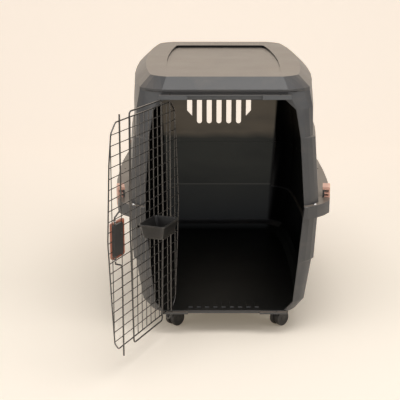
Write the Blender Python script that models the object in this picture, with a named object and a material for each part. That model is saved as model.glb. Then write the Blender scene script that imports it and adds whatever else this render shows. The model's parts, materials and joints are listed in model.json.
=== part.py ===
"""Wheeled pet travel crate.

Two moulded shells are bolted together at a rim. A wire door hangs on a rod in the front opening, with a
two-bar latch and a clip-on bowl. Four side clips and four swivel casters complete it. Lengths are in metres,
Z is up, and the origin is on the floor, at the centre of the footprint with the door standing open.
"""

import math
from collections import namedtuple

import bmesh
import bpy
from mathutils import Vector

# Moulded body: overall sizes.
BODY_LENGTH = 1.005
PILLAR_HALF_WIDTH = 0.296
WALL = 0.005
TUB_HEIGHT = 0.3437
HOOD_HEIGHT = 0.4010
SEAM_GAP = 0.0003
FIT_GAP = 0.0004

# Rim that the two shells meet at.
RIM_PLATE = 0.005
RIM_SIDE = 0.037
RIM_FRONT = 0.018
RIM_DROP = 0.039
SKIRT = 0.004
SKIRT_CLEARANCE = 0.001
RIM_EDGE = 0.0015

# Heights of the hood's bends, down from the roof, and of the tub's, up from the floor's underside.
VISOR_DROP = 0.033
VISOR_REACH = 0.006
VISOR_EDGE = 0.006
HEAD_DROP = 0.0955
STEP_DROP = 0.184
STEP_RISE = 0.002
TUB_STEP = 0.1635
TUB_BEND = 0.0325
TUB_REAR_BEND = 0.017

# Door opening.
POST_EDGE = 0.003
OPENING_DROP = 0.0655
OPENING_TOP_HALF = 0.183
OPENING_REACH = 0.030
OPENING_DEPTH = 0.012

# Lips above and below the opening, which hold the door's bars.
LIP_HALF_LENGTH = 0.200
LIP_OUT = 0.0125
LIP_IN = 0.003
HEAD_LIP_HEIGHT = 0.014
HEAD_LIP_RISE = 0.0025
SILL_LIP_HEIGHT = 0.006
SILL_LIP_DROP = 0.0045
BORE_RADIUS = 0.00325

# Rear vents.
VENT_COUNT = 7
VENT_WIDTH = 0.0198
VENT_PITCH = 0.0389
VENT_BOTTOM = 0.0682
VENT_TOP = 0.276
OUTER_VENT_BOTTOM = 0.099
OUTER_VENT_SLANT = 0.0215

# Recessed roof panel.
PANEL_DEPTH = 0.009
PANEL_FRONT_DEPTH = 0.0012
PANEL_FRONT = 0.130
PANEL_BACK = 0.157
PANEL_FRONT_HALF = 0.174
PANEL_BACK_HALF = 0.165
PANEL_BOW = 0.0175
PANEL_CORNER = 0.018

# Raised ribs on the cabin floor, just behind the sill.
RIB_COUNT = 9
RIB_PITCH = 0.0265
RIB_WIDTH = 0.013
RIB_HEIGHT = 0.0025
RIB_START = 0.023
RIB_LENGTH = 0.056

# Rim fasteners.
BOLT_RADIUS = 0.0025
BOLT_HEAD_RADIUS = 0.0055
BOLT_HEAD_HEIGHT = 0.004
BOLT_STANDOFF = 0.0078
NUT_RADIUS = 0.0046
NUT_HEIGHT = 0.004
TIE_HOLE_RADIUS = 0.004
TIE_HOLE_INSET = 0.019

# Side clips.
CLIP_LENGTH = 0.056
CLIP_CENTRE = 0.128
CLIP_PLATE = 0.0045
CLIP_ABOVE = 0.033
CLIP_FINGER = 0.0045
CLIP_REACH = 0.024
CLIP_PIVOT_IN = 0.0105
CLIP_PIVOT_DROP = 0.033
KNUCKLE_RADIUS = 0.004
KNUCKLE_LENGTH = 0.032
CLIP_PIN_RADIUS = 0.0015
LUG_WIDTH = 0.006
LUG_IN = 0.016
LUG_OUT = 0.0055
LUG_DROP = 0.030
CATCH_IN = 0.0235
CATCH_OUT = 0.0185
CATCH_HEIGHT = 0.0245

# Door: where it hangs, and how far it stands open.
HINGE_HALF_SPAN = 0.167
HINGE_AHEAD = 0.0055
DOOR_OPEN_DEG = 112.8
BAR_RADIUS = 0.0025
WIRE_WIDTH = 0.0025
FRAME_WIDTH = 0.004
FRAME_CLEARANCE = 0.007
WIRE_PITCH = 0.030
UPRIGHTS = (0.030, 0.060, 0.090, 0.155, 0.212)
WIRE_AHEAD = 0.0029
FRAME_AHEAD = 0.0033
UPRIGHT_AHEAD = 0.0044
LOOP_TOP_HALF = 0.106
LOOP_WAIST_HALF = 0.112
LOOP_FOOT_HALF = 0.0995
LOOP_CORNER = 0.012
LOOP_ABOVE = 0.0085
LOOP_BELOW = 0.004
LOOP_SIDE_ROOM = 0.005
ROD_ABOVE = 0.0045
ROD_BELOW = 0.0075

# Latch.
LATCH_BAR = 0.167
LATCH_JOG = 0.040
JOG_RISE = 0.016
LATCH_WIRE = 11
LATCH_EDGE = 0.003
LATCH_TRAVEL = 0.0095
BAR_TIP_UP = 0.003
BAR_HEEL = 0.0086
BAR_STRAIGHT = 0.009
BAR_TIP_DOWN = 0.012
CASING_HALF_WIDTH = 0.036
CASING_ABOVE = 0.048
CASING_BELOW = 0.059
CASING_DEPTH = 0.0108
CASING_OFFSET = 0.0025
POCKET_HALF_WIDTH = 0.0285
POCKET_HALF_HEIGHT = 0.040
POCKET_DEPTH = 0.007
GRIP_WIDTH = 0.021
GRIP_PLAY = 0.003
TONGUE_WIDTH = 0.011
TONGUE_HEIGHT = 0.007
TONGUE_RISE = 0.0025
TONGUE_END = 0.0013
PLATE_THICKNESS = 0.0086
PLATE_HALF_WIDTH = 0.0275
PLATE_OFFSET = 0.0265
PLATE_ABOVE = 0.047
PLATE_BELOW = 0.045
SCREW_RADIUS = 0.002
SCREW_HEAD_RADIUS = 0.004
SCREW_HEAD_HEIGHT = 0.0025
SCREW_BOSS_RADIUS = 0.0042
SCREW_OFFSET = 0.010
SCREW_COVER = 0.001
SPRING_TURNS = 4
SPRING_WIRE_RADIUS = 0.0004
SPRING_POINTS = 9
COLLAR_RADIUS = 0.0042
COLLAR_HEIGHT = 0.002
SEAT_RISE = 0.0018

# Bowl.
BOWL_LENGTH = 0.118
BOWL_WIDTH = 0.086
BOWL_DEPTH = 0.042
BOWL_OFFSET = 0.004
BOWL_WALL = 0.0025
BOWL_RIM = 0.004
BOWL_TAPER = 0.008
BOWL_RISE = 0.009
BOWL_CORNER = 0.014
HOOK_WIDTH = 0.012
HOOK_DROP = 0.008
HOOK_THICKNESS = 0.003

# Casters.
CASTER_HEIGHT = 0.0645
BOSS_HEIGHT = 0.0105
BOSS_RADIUS = 0.028
CASTER_HALF_TRACK = 0.170
CASTER_FROM_FRONT = 0.0705
CASTER_FROM_REAR = 0.1455
CASTER_TURN_DEG = 44.0
CASTER_TRAIL = 0.018
WHEEL_RADIUS = 0.026
WHEEL_WIDTH = 0.013
WEB_WIDTH = 0.011
AXLE_RADIUS = 0.0025
STEM_RADIUS = 0.0032
HUB_RADIUS = 0.0105
COLLAR_SEAT = 0.0032
FENDER_GAP = 0.002
FENDER_THICKNESS = 0.0025
FENDER_FROM_DEG = 25.0
FENDER_TO_DEG = 150.0

# Worked out from the sizes above.
FLOOR_Z = CASTER_HEIGHT + BOSS_HEIGHT
TUB_TOP_Z = FLOOR_Z + TUB_HEIGHT
SEAM_Z = TUB_TOP_Z + SEAM_GAP
LEDGE_Z = SEAM_Z + RIM_PLATE
SKIRT_Z = LEDGE_Z - RIM_DROP
ROOF_Z = SEAM_Z + HOOD_HEIGHT
SILL_Z = FLOOR_Z + WALL
OPENING_TOP_Z = ROOF_Z - OPENING_DROP
HEAD_LIP_Z = OPENING_TOP_Z + HEAD_LIP_RISE
HEAD_LIP_TOP_Z = HEAD_LIP_Z + HEAD_LIP_HEIGHT
SILL_LIP_Z = FLOOR_Z - SILL_LIP_DROP
SILL_LIP_TOP_Z = SILL_LIP_Z + SILL_LIP_HEIGHT

# One height of the body. inset: how far the corner stands in from PILLAR_HALF_WIDTH. pillar: width of the
# slanted pillar beside the flat front, and depth how far back it runs. bow: how far the side swells at
# mid-length. front and back: how far the front and the rear stand in. rear: width of the rear corner's slant.
Level = namedtuple("Level", "z inset pillar depth bow front back rear")


def waist(z):
    return Level(z, 0.0, 0.0462, 0.047, 0.022, 0.0, 0.0, 0.067)


RIM = Level(0.0, -RIM_SIDE, 0.0745, 0.081, 0.027, -RIM_FRONT, -RIM_FRONT, 0.096)

HOOD_LEVELS = (
    Level(ROOF_Z - STEP_DROP - STEP_RISE, 0.0150, 0.0460, 0.047, 0.022, 0.0, 0.0, 0.060),
    Level(ROOF_Z - STEP_DROP + STEP_RISE, 0.0230, 0.0390, 0.047, 0.022, 0.0, 0.0, 0.058),
    Level(ROOF_Z - HEAD_DROP, 0.0255, 0.0519, 0.047, 0.026, 0.0, 0.0, 0.058),
    Level(ROOF_Z - VISOR_DROP, 0.0360, 0.0700, 0.048, 0.034, 0.0, 0.0, 0.066),
)
ROOF_LEVEL = Level(ROOF_Z, 0.0680, 0.0500, 0.046, 0.030, 0.038, 0.038, 0.050)

TUB_LEVELS = (
    Level(FLOOR_Z, 0.0690, 0.0360, 0.036, 0.022, 0.0, 0.110, 0.045),
    Level(FLOOR_Z + TUB_REAR_BEND, 0.0530, 0.0360, 0.038, 0.022, 0.0, 0.055, 0.055),
    Level(FLOOR_Z + TUB_BEND, 0.0390, 0.0360, 0.040, 0.022, 0.0, 0.033, 0.060),
    Level(FLOOR_Z + TUB_STEP - STEP_RISE, 0.0175, 0.0442, 0.047, 0.022, 0.0, 0.008, 0.070),
    Level(FLOOR_Z + TUB_STEP + STEP_RISE, 0.0105, 0.0509, 0.047, 0.022, 0.0, 0.004, 0.070),
)

CORNER_STEPS = 3
CORNER_ROUNDNESS = 0.4
SIDE_STOPS = (0.07, 0.18, 0.33, 0.5, 0.67, 0.82, 0.93)
BOW_POWER = 2.4


def material(name, color, roughness, metallic=0.0):
    made = bpy.data.materials.new(name)
    made.use_nodes = True
    shader = made.node_tree.nodes["Principled BSDF"]
    shader.inputs["Base Color"].default_value = (*color, 1.0)
    shader.inputs["Roughness"].default_value = roughness
    shader.inputs["Metallic"].default_value = metallic
    made.diffuse_color = (*color, 1.0)
    return made


def put_in_scene(name, data, parent=None, place=(0, 0, 0), turn=0.0):
    made = bpy.data.objects.new(name, data)
    bpy.context.scene.collection.objects.link(made)
    made.parent = parent
    made.location = place
    made.rotation_euler[2] = turn
    return made


def finish_mesh(mesh, smooth):
    if smooth:
        mesh.shade_smooth()
        mesh.set_sharp_from_angle(angle=math.radians(35))
    return mesh


def mesh_from(name, shapes, smooth=False):
    """One mesh from several (points, faces) shapes, with every face turned out."""
    made = bmesh.new()
    for points, faces in shapes:
        verts = [made.verts.new(p) for p in points]
        for face in faces:
            made.faces.new([verts[i] for i in face])
    bmesh.ops.recalc_face_normals(made, faces=made.faces)
    mesh = bpy.data.meshes.new(name)
    made.to_mesh(mesh)
    made.free()
    return finish_mesh(mesh, smooth)


def solid(name, shapes, finish, parent=None, place=(0, 0, 0), turn=0.0, smooth=False):
    mesh = mesh_from(name, shapes, smooth)
    mesh.materials.append(finish)
    return put_in_scene(name, mesh, parent, place, turn)


def operand(name, shapes, parent):
    """A hidden mesh that a Boolean takes, in its parent's space."""
    made = put_in_scene(name, mesh_from(name, shapes), parent)
    made.hide_render = True
    made.display_type = "WIRE"
    return made


def boolean(target, operation, other):
    change = target.modifiers.new(other.name, "BOOLEAN")
    change.operation = operation
    change.solver = "EXACT"
    change.object = other


def fuse(target, name, shapes):
    boolean(target, "UNION", operand(name, shapes, target.parent))


def cut(target, name, shapes):
    boolean(target, "DIFFERENCE", operand(name, shapes, target.parent))


def settled_mesh(made, name, smooth=True):
    """The mesh that an object's modifiers give, kept for pieces that come several times."""
    bpy.context.view_layer.update()
    graph = bpy.context.evaluated_depsgraph_get()
    mesh = bpy.data.meshes.new_from_object(made.evaluated_get(graph))
    mesh.name = name
    helpers = [change.object for change in made.modifiers]
    for thing in [made] + helpers:
        bpy.data.objects.remove(thing)
    return finish_mesh(mesh, smooth)


def loft(rings):
    """A closed solid through rings of equal count, with its first and last ring filled."""
    count = len(rings[0])
    points = [p for ring in rings for p in ring]
    faces = [list(range(count))[::-1], list(range(len(points) - count, len(points)))]
    for row in range(len(rings) - 1):
        low, high = row * count, (row + 1) * count
        for i in range(count):
            j = (i + 1) % count
            faces.append([low + i, low + j, high + j, high + i])
    return points, faces


def box(x0, x1, y0, y1, z0, z1):
    return loft([[(x0, y0, z), (x1, y0, z), (x1, y1, z), (x0, y1, z)] for z in (z0, z1)])


def prism_along_y(outline, y0, y1):
    """An outline of (x, z) points, pushed from y0 to y1."""
    return loft([[(x, y, z) for x, z in outline] for y in (y0, y1)])


def prism_along_x(outline, x0, x1):
    """An outline of (y, z) points, pushed from x0 to x1."""
    return loft([[(x, y, z) for y, z in outline] for x in (x0, x1)])


def circle(radius, steps, centre=(0.0, 0.0), start=0.0):
    return [
        (
            centre[0] + radius * math.cos(start + 2 * math.pi * i / steps),
            centre[1] + radius * math.sin(start + 2 * math.pi * i / steps),
        )
        for i in range(steps)
    ]


def cylinder_z(x, y, radius, z0, z1, steps=16):
    return loft([[(px, py, z) for px, py in circle(radius, steps, (x, y))] for z in (z0, z1)])


def cylinder_y(x, z, radius, y0, y1, steps=16):
    return prism_along_y(circle(radius, steps, (x, z)), y0, y1)


def turned(profile, steps=20):
    """A solid of revolution about Z from closed (radius, z) points, none of them on the axis."""
    points, faces = [], []
    count = len(profile)
    for i in range(steps):
        angle = 2 * math.pi * i / steps
        points += [(r * math.cos(angle), r * math.sin(angle), z) for r, z in profile]
    for i in range(steps):
        here, after = i * count, (i + 1) % steps * count
        for k in range(count):
            m = (k + 1) % count
            faces.append([here + k, after + k, after + m, here + m])
    return points, faces


def turned_solid(profile, steps=16):
    """A solid of revolution about Z whose (radius, z) points run up its outside."""
    return loft([[(px, py, z) for px, py in circle(r, steps)] for r, z in profile])


def rounded_rectangle(x0, x1, y0, y1, radius, steps=3):
    corners = ((x1, y1, 0), (x0, y1, 90), (x0, y0, 180), (x1, y0, 270))
    points = []
    for x, y, start in corners:
        cx = x - radius if x == x1 else x + radius
        cy = y - radius if y == y1 else y + radius
        for i in range(steps + 1):
            angle = math.radians(start + 90 * i / steps)
            points.append((cx + radius * math.cos(angle), cy + radius * math.sin(angle)))
    return points


def offset(outline, distance):
    """A closed outline of (x, y) points, moved in by distance, or out if it is negative."""
    turn = sum(
        x0 * y1 - x1 * y0 for (x0, y0), (x1, y1) in zip(outline, outline[1:] + outline[:1])
    )
    side = 1 if turn > 0 else -1
    moved = []
    for i, point in enumerate(outline):
        here = Vector(point)
        before = (here - Vector(outline[i - 1])).normalized()
        after = (Vector(outline[(i + 1) % len(outline)]) - here).normalized()
        first = Vector((-before.y, before.x))
        second = Vector((-after.y, after.x))
        shift = (first + second) * (side * distance / (1 + first.dot(second)))
        moved.append((here.x + shift.x, here.y + shift.y))
    return moved


def bar(name, route, radius, finish, parent, closed=False, resolution=2, swell=None):
    """A round bar along straight runs between points. swell is a point's radius as a share of the bar's."""
    curve = bpy.data.curves.new(name, "CURVE")
    curve.dimensions = "3D"
    curve.bevel_depth = radius
    curve.bevel_resolution = resolution
    curve.use_fill_caps = True
    spline = curve.splines.new("POLY")
    spline.points.add(len(route) - 1)
    for i, (point, place) in enumerate(zip(spline.points, route)):
        point.co = (*place, 1.0)
        point.radius = swell[i] if swell else 1.0
    spline.use_cyclic_u = closed
    spline.use_smooth = True
    curve.materials.append(finish)
    return put_in_scene(name, curve, parent)


def corner_arc(start, end, steps):
    """Points from start to end, both included, swelling a little past the straight slant between them."""
    points = []
    for i in range(steps + 1):
        share = i / steps
        angle = share * math.pi / 2
        along = (1 - CORNER_ROUNDNESS) * share + CORNER_ROUNDNESS * math.sin(angle)
        back = (1 - CORNER_ROUNDNESS) * share + CORNER_ROUNDNESS * (1 - math.cos(angle))
        points.append((start[0] + (end[0] - start[0]) * along, start[1] + (end[1] - start[1]) * back))
    return points


def side_half_width(level, y):
    """Half-width of the bowed side at a distance y behind the front plane."""
    start = level.front + level.depth
    end = BODY_LENGTH - level.back - level.rear
    share = (y - start) / (end - start)
    bulge = 1 - abs(2 * share - 1) ** BOW_POWER
    return PILLAR_HALF_WIDTH - level.inset + level.bow * bulge


def plan(level):
    """The body's outline at a level, anticlockwise from the right end of its flat front."""
    corner = PILLAR_HALF_WIDTH - level.inset
    start = level.front + level.depth
    end = BODY_LENGTH - level.back - level.rear
    right = corner_arc((corner - level.pillar, level.front), (corner, start), CORNER_STEPS)
    for share in SIDE_STOPS:
        y = start + share * (end - start)
        right.append((side_half_width(level, y), y))
    rear = corner_arc((corner - level.rear, BODY_LENGTH - level.back), (corner, end), CORNER_STEPS)
    right += rear[::-1]
    return right + [(-x, y) for x, y in right[::-1]]


def ring(outline, z):
    return [(x, y, z) for x, y in outline]


def visor_ring(reach, z):
    """The hood's outline at its visor, whose front edge alone stands out."""
    level = HOOD_LEVELS[-1]
    return ring(plan(level._replace(front=-reach, depth=level.depth + reach)), z)


def flat_half_width(z):
    """Half-width of the flat front at a height, by which the opening and the door are shaped."""
    levels = (*TUB_LEVELS, waist(TUB_TOP_Z - RIM_PLATE), waist(LEDGE_Z), *HOOD_LEVELS, ROOF_LEVEL)
    for low, high in zip(levels, levels[1:]):
        if low.z <= z <= high.z:
            share = (z - low.z) / (high.z - low.z)
            narrow = PILLAR_HALF_WIDTH - low.inset - low.pillar
            wide = PILLAR_HALF_WIDTH - high.inset - high.pillar
            return narrow + share * (wide - narrow)
    raise ValueError("height outside the body")


def front_plane_y():
    """World y of the front plane that centres the footprint, open door and all, on the origin."""
    angle = math.radians(DOOR_OPEN_DEG)
    widest = flat_half_width(LEDGE_Z) - POST_EDGE - FRAME_CLEARANCE + FRAME_WIDTH / 2
    door_reach = HINGE_AHEAD + (HINGE_HALF_SPAN + widest) * math.sin(angle)
    door_reach += FRAME_AHEAD * math.cos(angle)
    return (door_reach - BODY_LENGTH - RIM_FRONT) / 2


def opening_outline():
    """The door opening as (x, z) points, anticlockwise seen from the front."""
    heights = (
        SILL_Z,
        FLOOR_Z + TUB_BEND,
        FLOOR_Z + TUB_STEP,
        TUB_TOP_Z - RIM_PLATE,
        LEDGE_Z,
        ROOF_Z - STEP_DROP,
        ROOF_Z - HEAD_DROP,
    )
    right = [(flat_half_width(z) - POST_EDGE, z) for z in heights]
    right.append((OPENING_TOP_HALF, OPENING_TOP_Z))
    return right + [(-x, z) for x, z in right[::-1]]


def hood_body():
    """The upper shell as one skin: roof and walls outside, the rim, then walls and roof inside."""
    rim = plan(RIM)
    walls = [plan(waist(0.0))] + [plan(level) for level in HOOD_LEVELS]
    heights = [LEDGE_Z] + [level.z for level in HOOD_LEVELS]
    outside = [ring(outline, z) for outline, z in zip(walls, heights)][:-1]
    outside += [
        visor_ring(0.0, HOOD_LEVELS[-1].z - VISOR_EDGE - VISOR_REACH / 2),
        visor_ring(VISOR_REACH, HOOD_LEVELS[-1].z - VISOR_EDGE),
        visor_ring(VISOR_REACH, HOOD_LEVELS[-1].z),
        ring(plan(ROOF_LEVEL), ROOF_Z),
    ]
    edge = [
        ring(offset(rim, RIM_EDGE), LEDGE_Z),
        ring(rim, LEDGE_Z - RIM_EDGE),
        ring(rim, SKIRT_Z),
        ring(offset(rim, SKIRT), SKIRT_Z),
        ring(offset(rim, SKIRT), SEAM_Z),
    ]
    heights[0] = SEAM_Z
    inside = [ring(offset(outline, WALL), z) for outline, z in zip(walls, heights)]
    inside.append(ring(offset(plan(ROOF_LEVEL), WALL), ROOF_Z - WALL))
    return loft(outside[::-1] + edge + inside)


def tub_body():
    """The lower shell as one skin: underside and outer walls, rim plate, then inner walls and floor."""
    levels = [*TUB_LEVELS, waist(TUB_TOP_Z - RIM_PLATE)]
    plate = offset(plan(RIM), SKIRT + SKIRT_CLEARANCE)
    outside = [ring(plan(level), level.z) for level in levels]
    inside = [ring(offset(plan(level), WALL), level.z) for level in TUB_LEVELS[1:]]
    inside.append(ring(offset(plan(waist(0.0)), WALL), TUB_TOP_Z))
    floor = ring(offset(plan(TUB_LEVELS[0]), WALL), SILL_Z)
    edge = [ring(plate, TUB_TOP_Z - RIM_PLATE), ring(plate, TUB_TOP_Z)]
    return loft(outside + edge + inside[::-1] + [floor])


def rim_bolt_places():
    """(x, y) of the four rim bolts: out from the middle of each pillar, square to its face."""
    level = waist(0.0)
    corner = PILLAR_HALF_WIDTH
    front = ((corner - level.pillar, 0.0), (corner, level.depth))
    rear = ((corner - level.rear, BODY_LENGTH), (corner, BODY_LENGTH - level.rear))
    places = []
    for start, end in (front, rear):
        outline = corner_arc(start, end, 2 * CORNER_STEPS)
        middle = Vector(outline[CORNER_STEPS])
        along = (Vector(end) - Vector(start)).normalized()
        out = Vector((abs(along.y), -math.copysign(abs(along.x), end[1] - start[1])))
        place = middle + out * BOLT_STANDOFF
        places += [(place.x, place.y), (-place.x, place.y)]
    return places


def clip_places():
    """(x, y, turn) of the four clips: on the rim's outline, turned so that their own X points outwards."""
    places = []
    for y in (CLIP_CENTRE, BODY_LENGTH - CLIP_CENTRE):
        ahead = side_half_width(RIM, y - CLIP_LENGTH / 2)
        behind = side_half_width(RIM, y + CLIP_LENGTH / 2)
        turn = -math.atan2(behind - ahead, CLIP_LENGTH)
        x = side_half_width(RIM, y)
        places += [(x, y, turn), (-x, y, math.pi - turn)]
    return places


def caster_places():
    rear = BODY_LENGTH - CASTER_FROM_REAR
    return [(side * CASTER_HALF_TRACK, y) for y in (CASTER_FROM_FRONT, rear) for side in (1, -1)]


def placed(shape, x, y, turn):
    """A shape turned about Z and moved, for operands that repeat."""
    points, faces = shape
    cos, sin = math.cos(turn), math.sin(turn)
    return [(x + px * cos - py * sin, y + px * sin + py * cos, z) for px, py, z in points], faces


def lip_holes(z0, z1):
    return [cylinder_z(side * HINGE_HALF_SPAN, -HINGE_AHEAD, BORE_RADIUS, z0, z1) for side in (1, -1)]


def loop_seat(z0, z1):
    """The recess in a lip's front that the door's loop swings into and stops against."""
    half = LOOP_TOP_HALF + BAR_RADIUS + LOOP_SIDE_ROOM
    return box(-half, half, -LIP_OUT - WALL, BAR_RADIUS + FIT_GAP - HINGE_AHEAD, z0, z1)


def end_walls():
    """Close the rim's channel where the opening cuts through it."""
    inner = flat_half_width(SEAM_Z) - POST_EDGE
    back = -RIM_FRONT + SKIRT / 2
    shapes = []
    for side in (1, -1):
        near, far = sorted((side * inner, side * (inner + SKIRT)))
        shapes.append(box(near, far, back, -FIT_GAP, SKIRT_Z, LEDGE_Z - RIM_EDGE))
    return shapes


def vent_shapes():
    """Rear vents: five full slots, and an outer pair cut off on a slant."""
    y0, y1 = BODY_LENGTH - OPENING_REACH, BODY_LENGTH + OPENING_REACH
    low, high = LEDGE_Z + VENT_BOTTOM, LEDGE_Z + VENT_TOP
    half = VENT_WIDTH / 2
    shapes = []
    for k in range(VENT_COUNT):
        x = (k - (VENT_COUNT - 1) / 2) * VENT_PITCH
        top = [(x + dx, high - half + dz) for dx, dz in half_round(half, 0)]
        if k in (0, VENT_COUNT - 1):
            side = 1 if x > 0 else -1
            base = LEDGE_Z + OUTER_VENT_BOTTOM
            bottom = [(x - side * half, base), (x + side * half, base + OUTER_VENT_SLANT)]
            bottom = bottom if side > 0 else bottom[::-1]
        else:
            bottom = [(x + dx, low + half + dz) for dx, dz in half_round(half, math.pi)]
        shapes.append(prism_along_y(top + bottom, y0, y1))
    return shapes


def half_round(radius, start, steps=6):
    return [
        (radius * math.cos(start + math.pi * i / steps), radius * math.sin(start + math.pi * i / steps))
        for i in range(steps + 1)
    ]


def panel_depth(y):
    """Depth of the roof panel's floor, which falls from almost nothing at the front."""
    share = (y - PANEL_FRONT) / (BODY_LENGTH - PANEL_BACK - PANEL_FRONT)
    return PANEL_FRONT_DEPTH + share * (PANEL_DEPTH - PANEL_FRONT_DEPTH)


def panel_outline(margin=0.0):
    """The roof panel seen from above: sides that bow out a little, and rounded rear corners."""
    front, back = PANEL_FRONT, BODY_LENGTH - PANEL_BACK
    right = [(PANEL_FRONT_HALF + margin, front - margin)]
    for share in (0.2, 0.4, 0.6, 0.8):
        straight = PANEL_FRONT_HALF + (PANEL_BACK_HALF - PANEL_FRONT_HALF) * share
        half = straight + PANEL_BOW * 4 * share * (1 - share)
        right.append((half + margin, front + (back - front) * share))
    steps = 3
    for i in range(steps + 1):
        angle = math.pi / 2 * i / steps
        x = PANEL_BACK_HALF - PANEL_CORNER * (1 - math.cos(angle))
        y = back - PANEL_CORNER * (1 - math.sin(angle))
        right.append((x + margin * math.cos(angle), y + margin * math.sin(angle)))
    return right + [(-x, y) for x, y in right[::-1]]


def panel_floor(outline, below=0.0):
    """An outline laid on the roof panel's sloping floor, or at a distance below it."""
    return [(x, y, ROOF_Z - panel_depth(y) - below) for x, y in outline]


def make_hood(plastic, root):
    hood = solid("upper_shell", [hood_body()], plastic, root, smooth=True)
    tray = panel_outline(WALL)
    fuse(hood, "roof_tray", [loft([panel_floor(tray, WALL), ring(tray, ROOF_Z - WALL / 2)])])
    panel = panel_outline()
    cut(hood, "roof_panel", [loft([panel_floor(panel), ring(panel, ROOF_Z + WALL)])])
    lip = box(-LIP_HALF_LENGTH, LIP_HALF_LENGTH, -LIP_OUT, LIP_IN, HEAD_LIP_Z, HEAD_LIP_TOP_Z)
    catches = []
    for x, y, turn in clip_places():
        half = CLIP_LENGTH / 2
        catch = box(-CATCH_IN, -CATCH_OUT, -half, half, SEAM_Z + RIM_PLATE / 2, LEDGE_Z + CATCH_HEIGHT)
        catches.append(placed(catch, x, y, turn))
    fuse(hood, "head_lip", [lip, *catches])
    reach = prism_along_y(opening_outline(), -OPENING_REACH, OPENING_DEPTH)
    cut(hood, "hood_opening", [reach])
    fuse(hood, "rim_end_walls", end_walls())
    cut(hood, "rear_vents", vent_shapes())
    holes = lip_holes(HEAD_LIP_Z - WALL, HEAD_LIP_TOP_Z + WALL)
    holes.append(loop_seat(HEAD_LIP_Z - WALL, HEAD_LIP_Z + LOOP_ABOVE + BAR_RADIUS + FIT_GAP))
    holes += rim_holes(SKIRT_Z, LEDGE_Z + WALL)
    cut(hood, "hood_holes", holes)
    notches = []
    for x, y, turn in clip_places():
        half = CLIP_LENGTH / 2 + SKIRT_CLEARANCE
        inner = CLIP_PLATE + SKIRT_CLEARANCE / 2 + SEAM_GAP
        notch = box(-inner, WALL, -half, half, SKIRT_Z - WALL, LEDGE_Z + FIT_GAP)
        notches.append(placed(notch, x, y, turn))
    cut(hood, "skirt_notches", notches)
    return hood


def rim_holes(z0, z1):
    """Bolt holes at the four pillars, and a plain tie hole at mid-length on each side."""
    bore = BOLT_RADIUS + FIT_GAP
    holes = [cylinder_z(x, y, bore, z0, z1, 12) for x, y in rim_bolt_places()]
    middle = BODY_LENGTH / 2
    x = side_half_width(RIM, middle) - TIE_HOLE_INSET
    holes += [cylinder_z(side * x, middle, TIE_HOLE_RADIUS, z0, z1, 12) for side in (1, -1)]
    return holes


def clip_lugs():
    """Two lugs under the tub's rim plate for each clip, and the bores that run through them."""
    lugs, bores = [], []
    pivot_z = LEDGE_Z - CLIP_PIVOT_DROP
    at = KNUCKLE_LENGTH / 2 + SKIRT_CLEARANCE + LUG_WIDTH / 2
    lug_bottom = TUB_TOP_Z - LUG_DROP - RIM_PLATE
    for x, y, turn in clip_places():
        for side in (1, -1):
            low, high = side * at - LUG_WIDTH / 2, side * at + LUG_WIDTH / 2
            lug = box(-LUG_IN, -LUG_OUT, low, high, lug_bottom, TUB_TOP_Z - RIM_PLATE / 2)
            lugs.append(placed(lug, x, y, turn))
            bore = cylinder_y(
                -CLIP_PIVOT_IN, pivot_z, CLIP_PIN_RADIUS + FIT_GAP, low - WALL, high + WALL, 10
            )
            bores.append(placed(bore, x, y, turn))
    return lugs, bores


def make_tub(plastic, root):
    tub = solid("lower_shell", [tub_body()], plastic, root, smooth=True)
    lugs, lug_bores = clip_lugs()
    added = [box(-LIP_HALF_LENGTH, LIP_HALF_LENGTH, -LIP_OUT, LIP_IN, SILL_LIP_Z, SILL_LIP_TOP_Z)]
    added += [
        cylinder_z(x, y, BOSS_RADIUS, CASTER_HEIGHT, FLOOR_Z + WALL / 2, 24) for x, y in caster_places()
    ]
    cut(tub, "tub_opening", [prism_along_y(opening_outline(), -OPENING_REACH, OPENING_DEPTH)])
    for k in range(RIB_COUNT):
        x = (k - (RIB_COUNT - 1) / 2) * RIB_PITCH
        low, high = SILL_Z - WALL / 2, SILL_Z + RIB_HEIGHT
        profile = [
            (RIB_START, low),
            (RIB_START + RIB_LENGTH, low),
            (RIB_START + RIB_LENGTH - RIB_HEIGHT, high),
            (RIB_START + RIB_HEIGHT, high),
        ]
        added.append(prism_along_x(profile, x - RIB_WIDTH / 2, x + RIB_WIDTH / 2))
    fuse(tub, "tub_additions", added + lugs)
    inner = flat_half_width(SEAM_Z) - POST_EDGE
    removed = rim_holes(SKIRT_Z, TUB_TOP_Z + WALL) + lip_holes(SILL_LIP_Z - WALL, SILL_LIP_TOP_Z + WALL)
    removed.append(loop_seat(SILL_LIP_Z - WALL, SILL_LIP_TOP_Z + WALL))
    for side in (1, -1):
        near, far = sorted((side * (inner - WALL), side * (inner + SKIRT + FIT_GAP)))
        low, high = TUB_TOP_Z - RIM_PLATE - FIT_GAP, TUB_TOP_Z + FIT_GAP
        removed.append(box(near, far, -OPENING_REACH, 0.0, low, high))
    bore = STEM_RADIUS + FIT_GAP
    removed += [
        cylinder_z(x, y, bore, CASTER_HEIGHT - WALL, FLOOR_Z, 16) for x, y in caster_places()
    ]
    cut(tub, "tub_holes", removed + lug_bores)
    return tub


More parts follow.
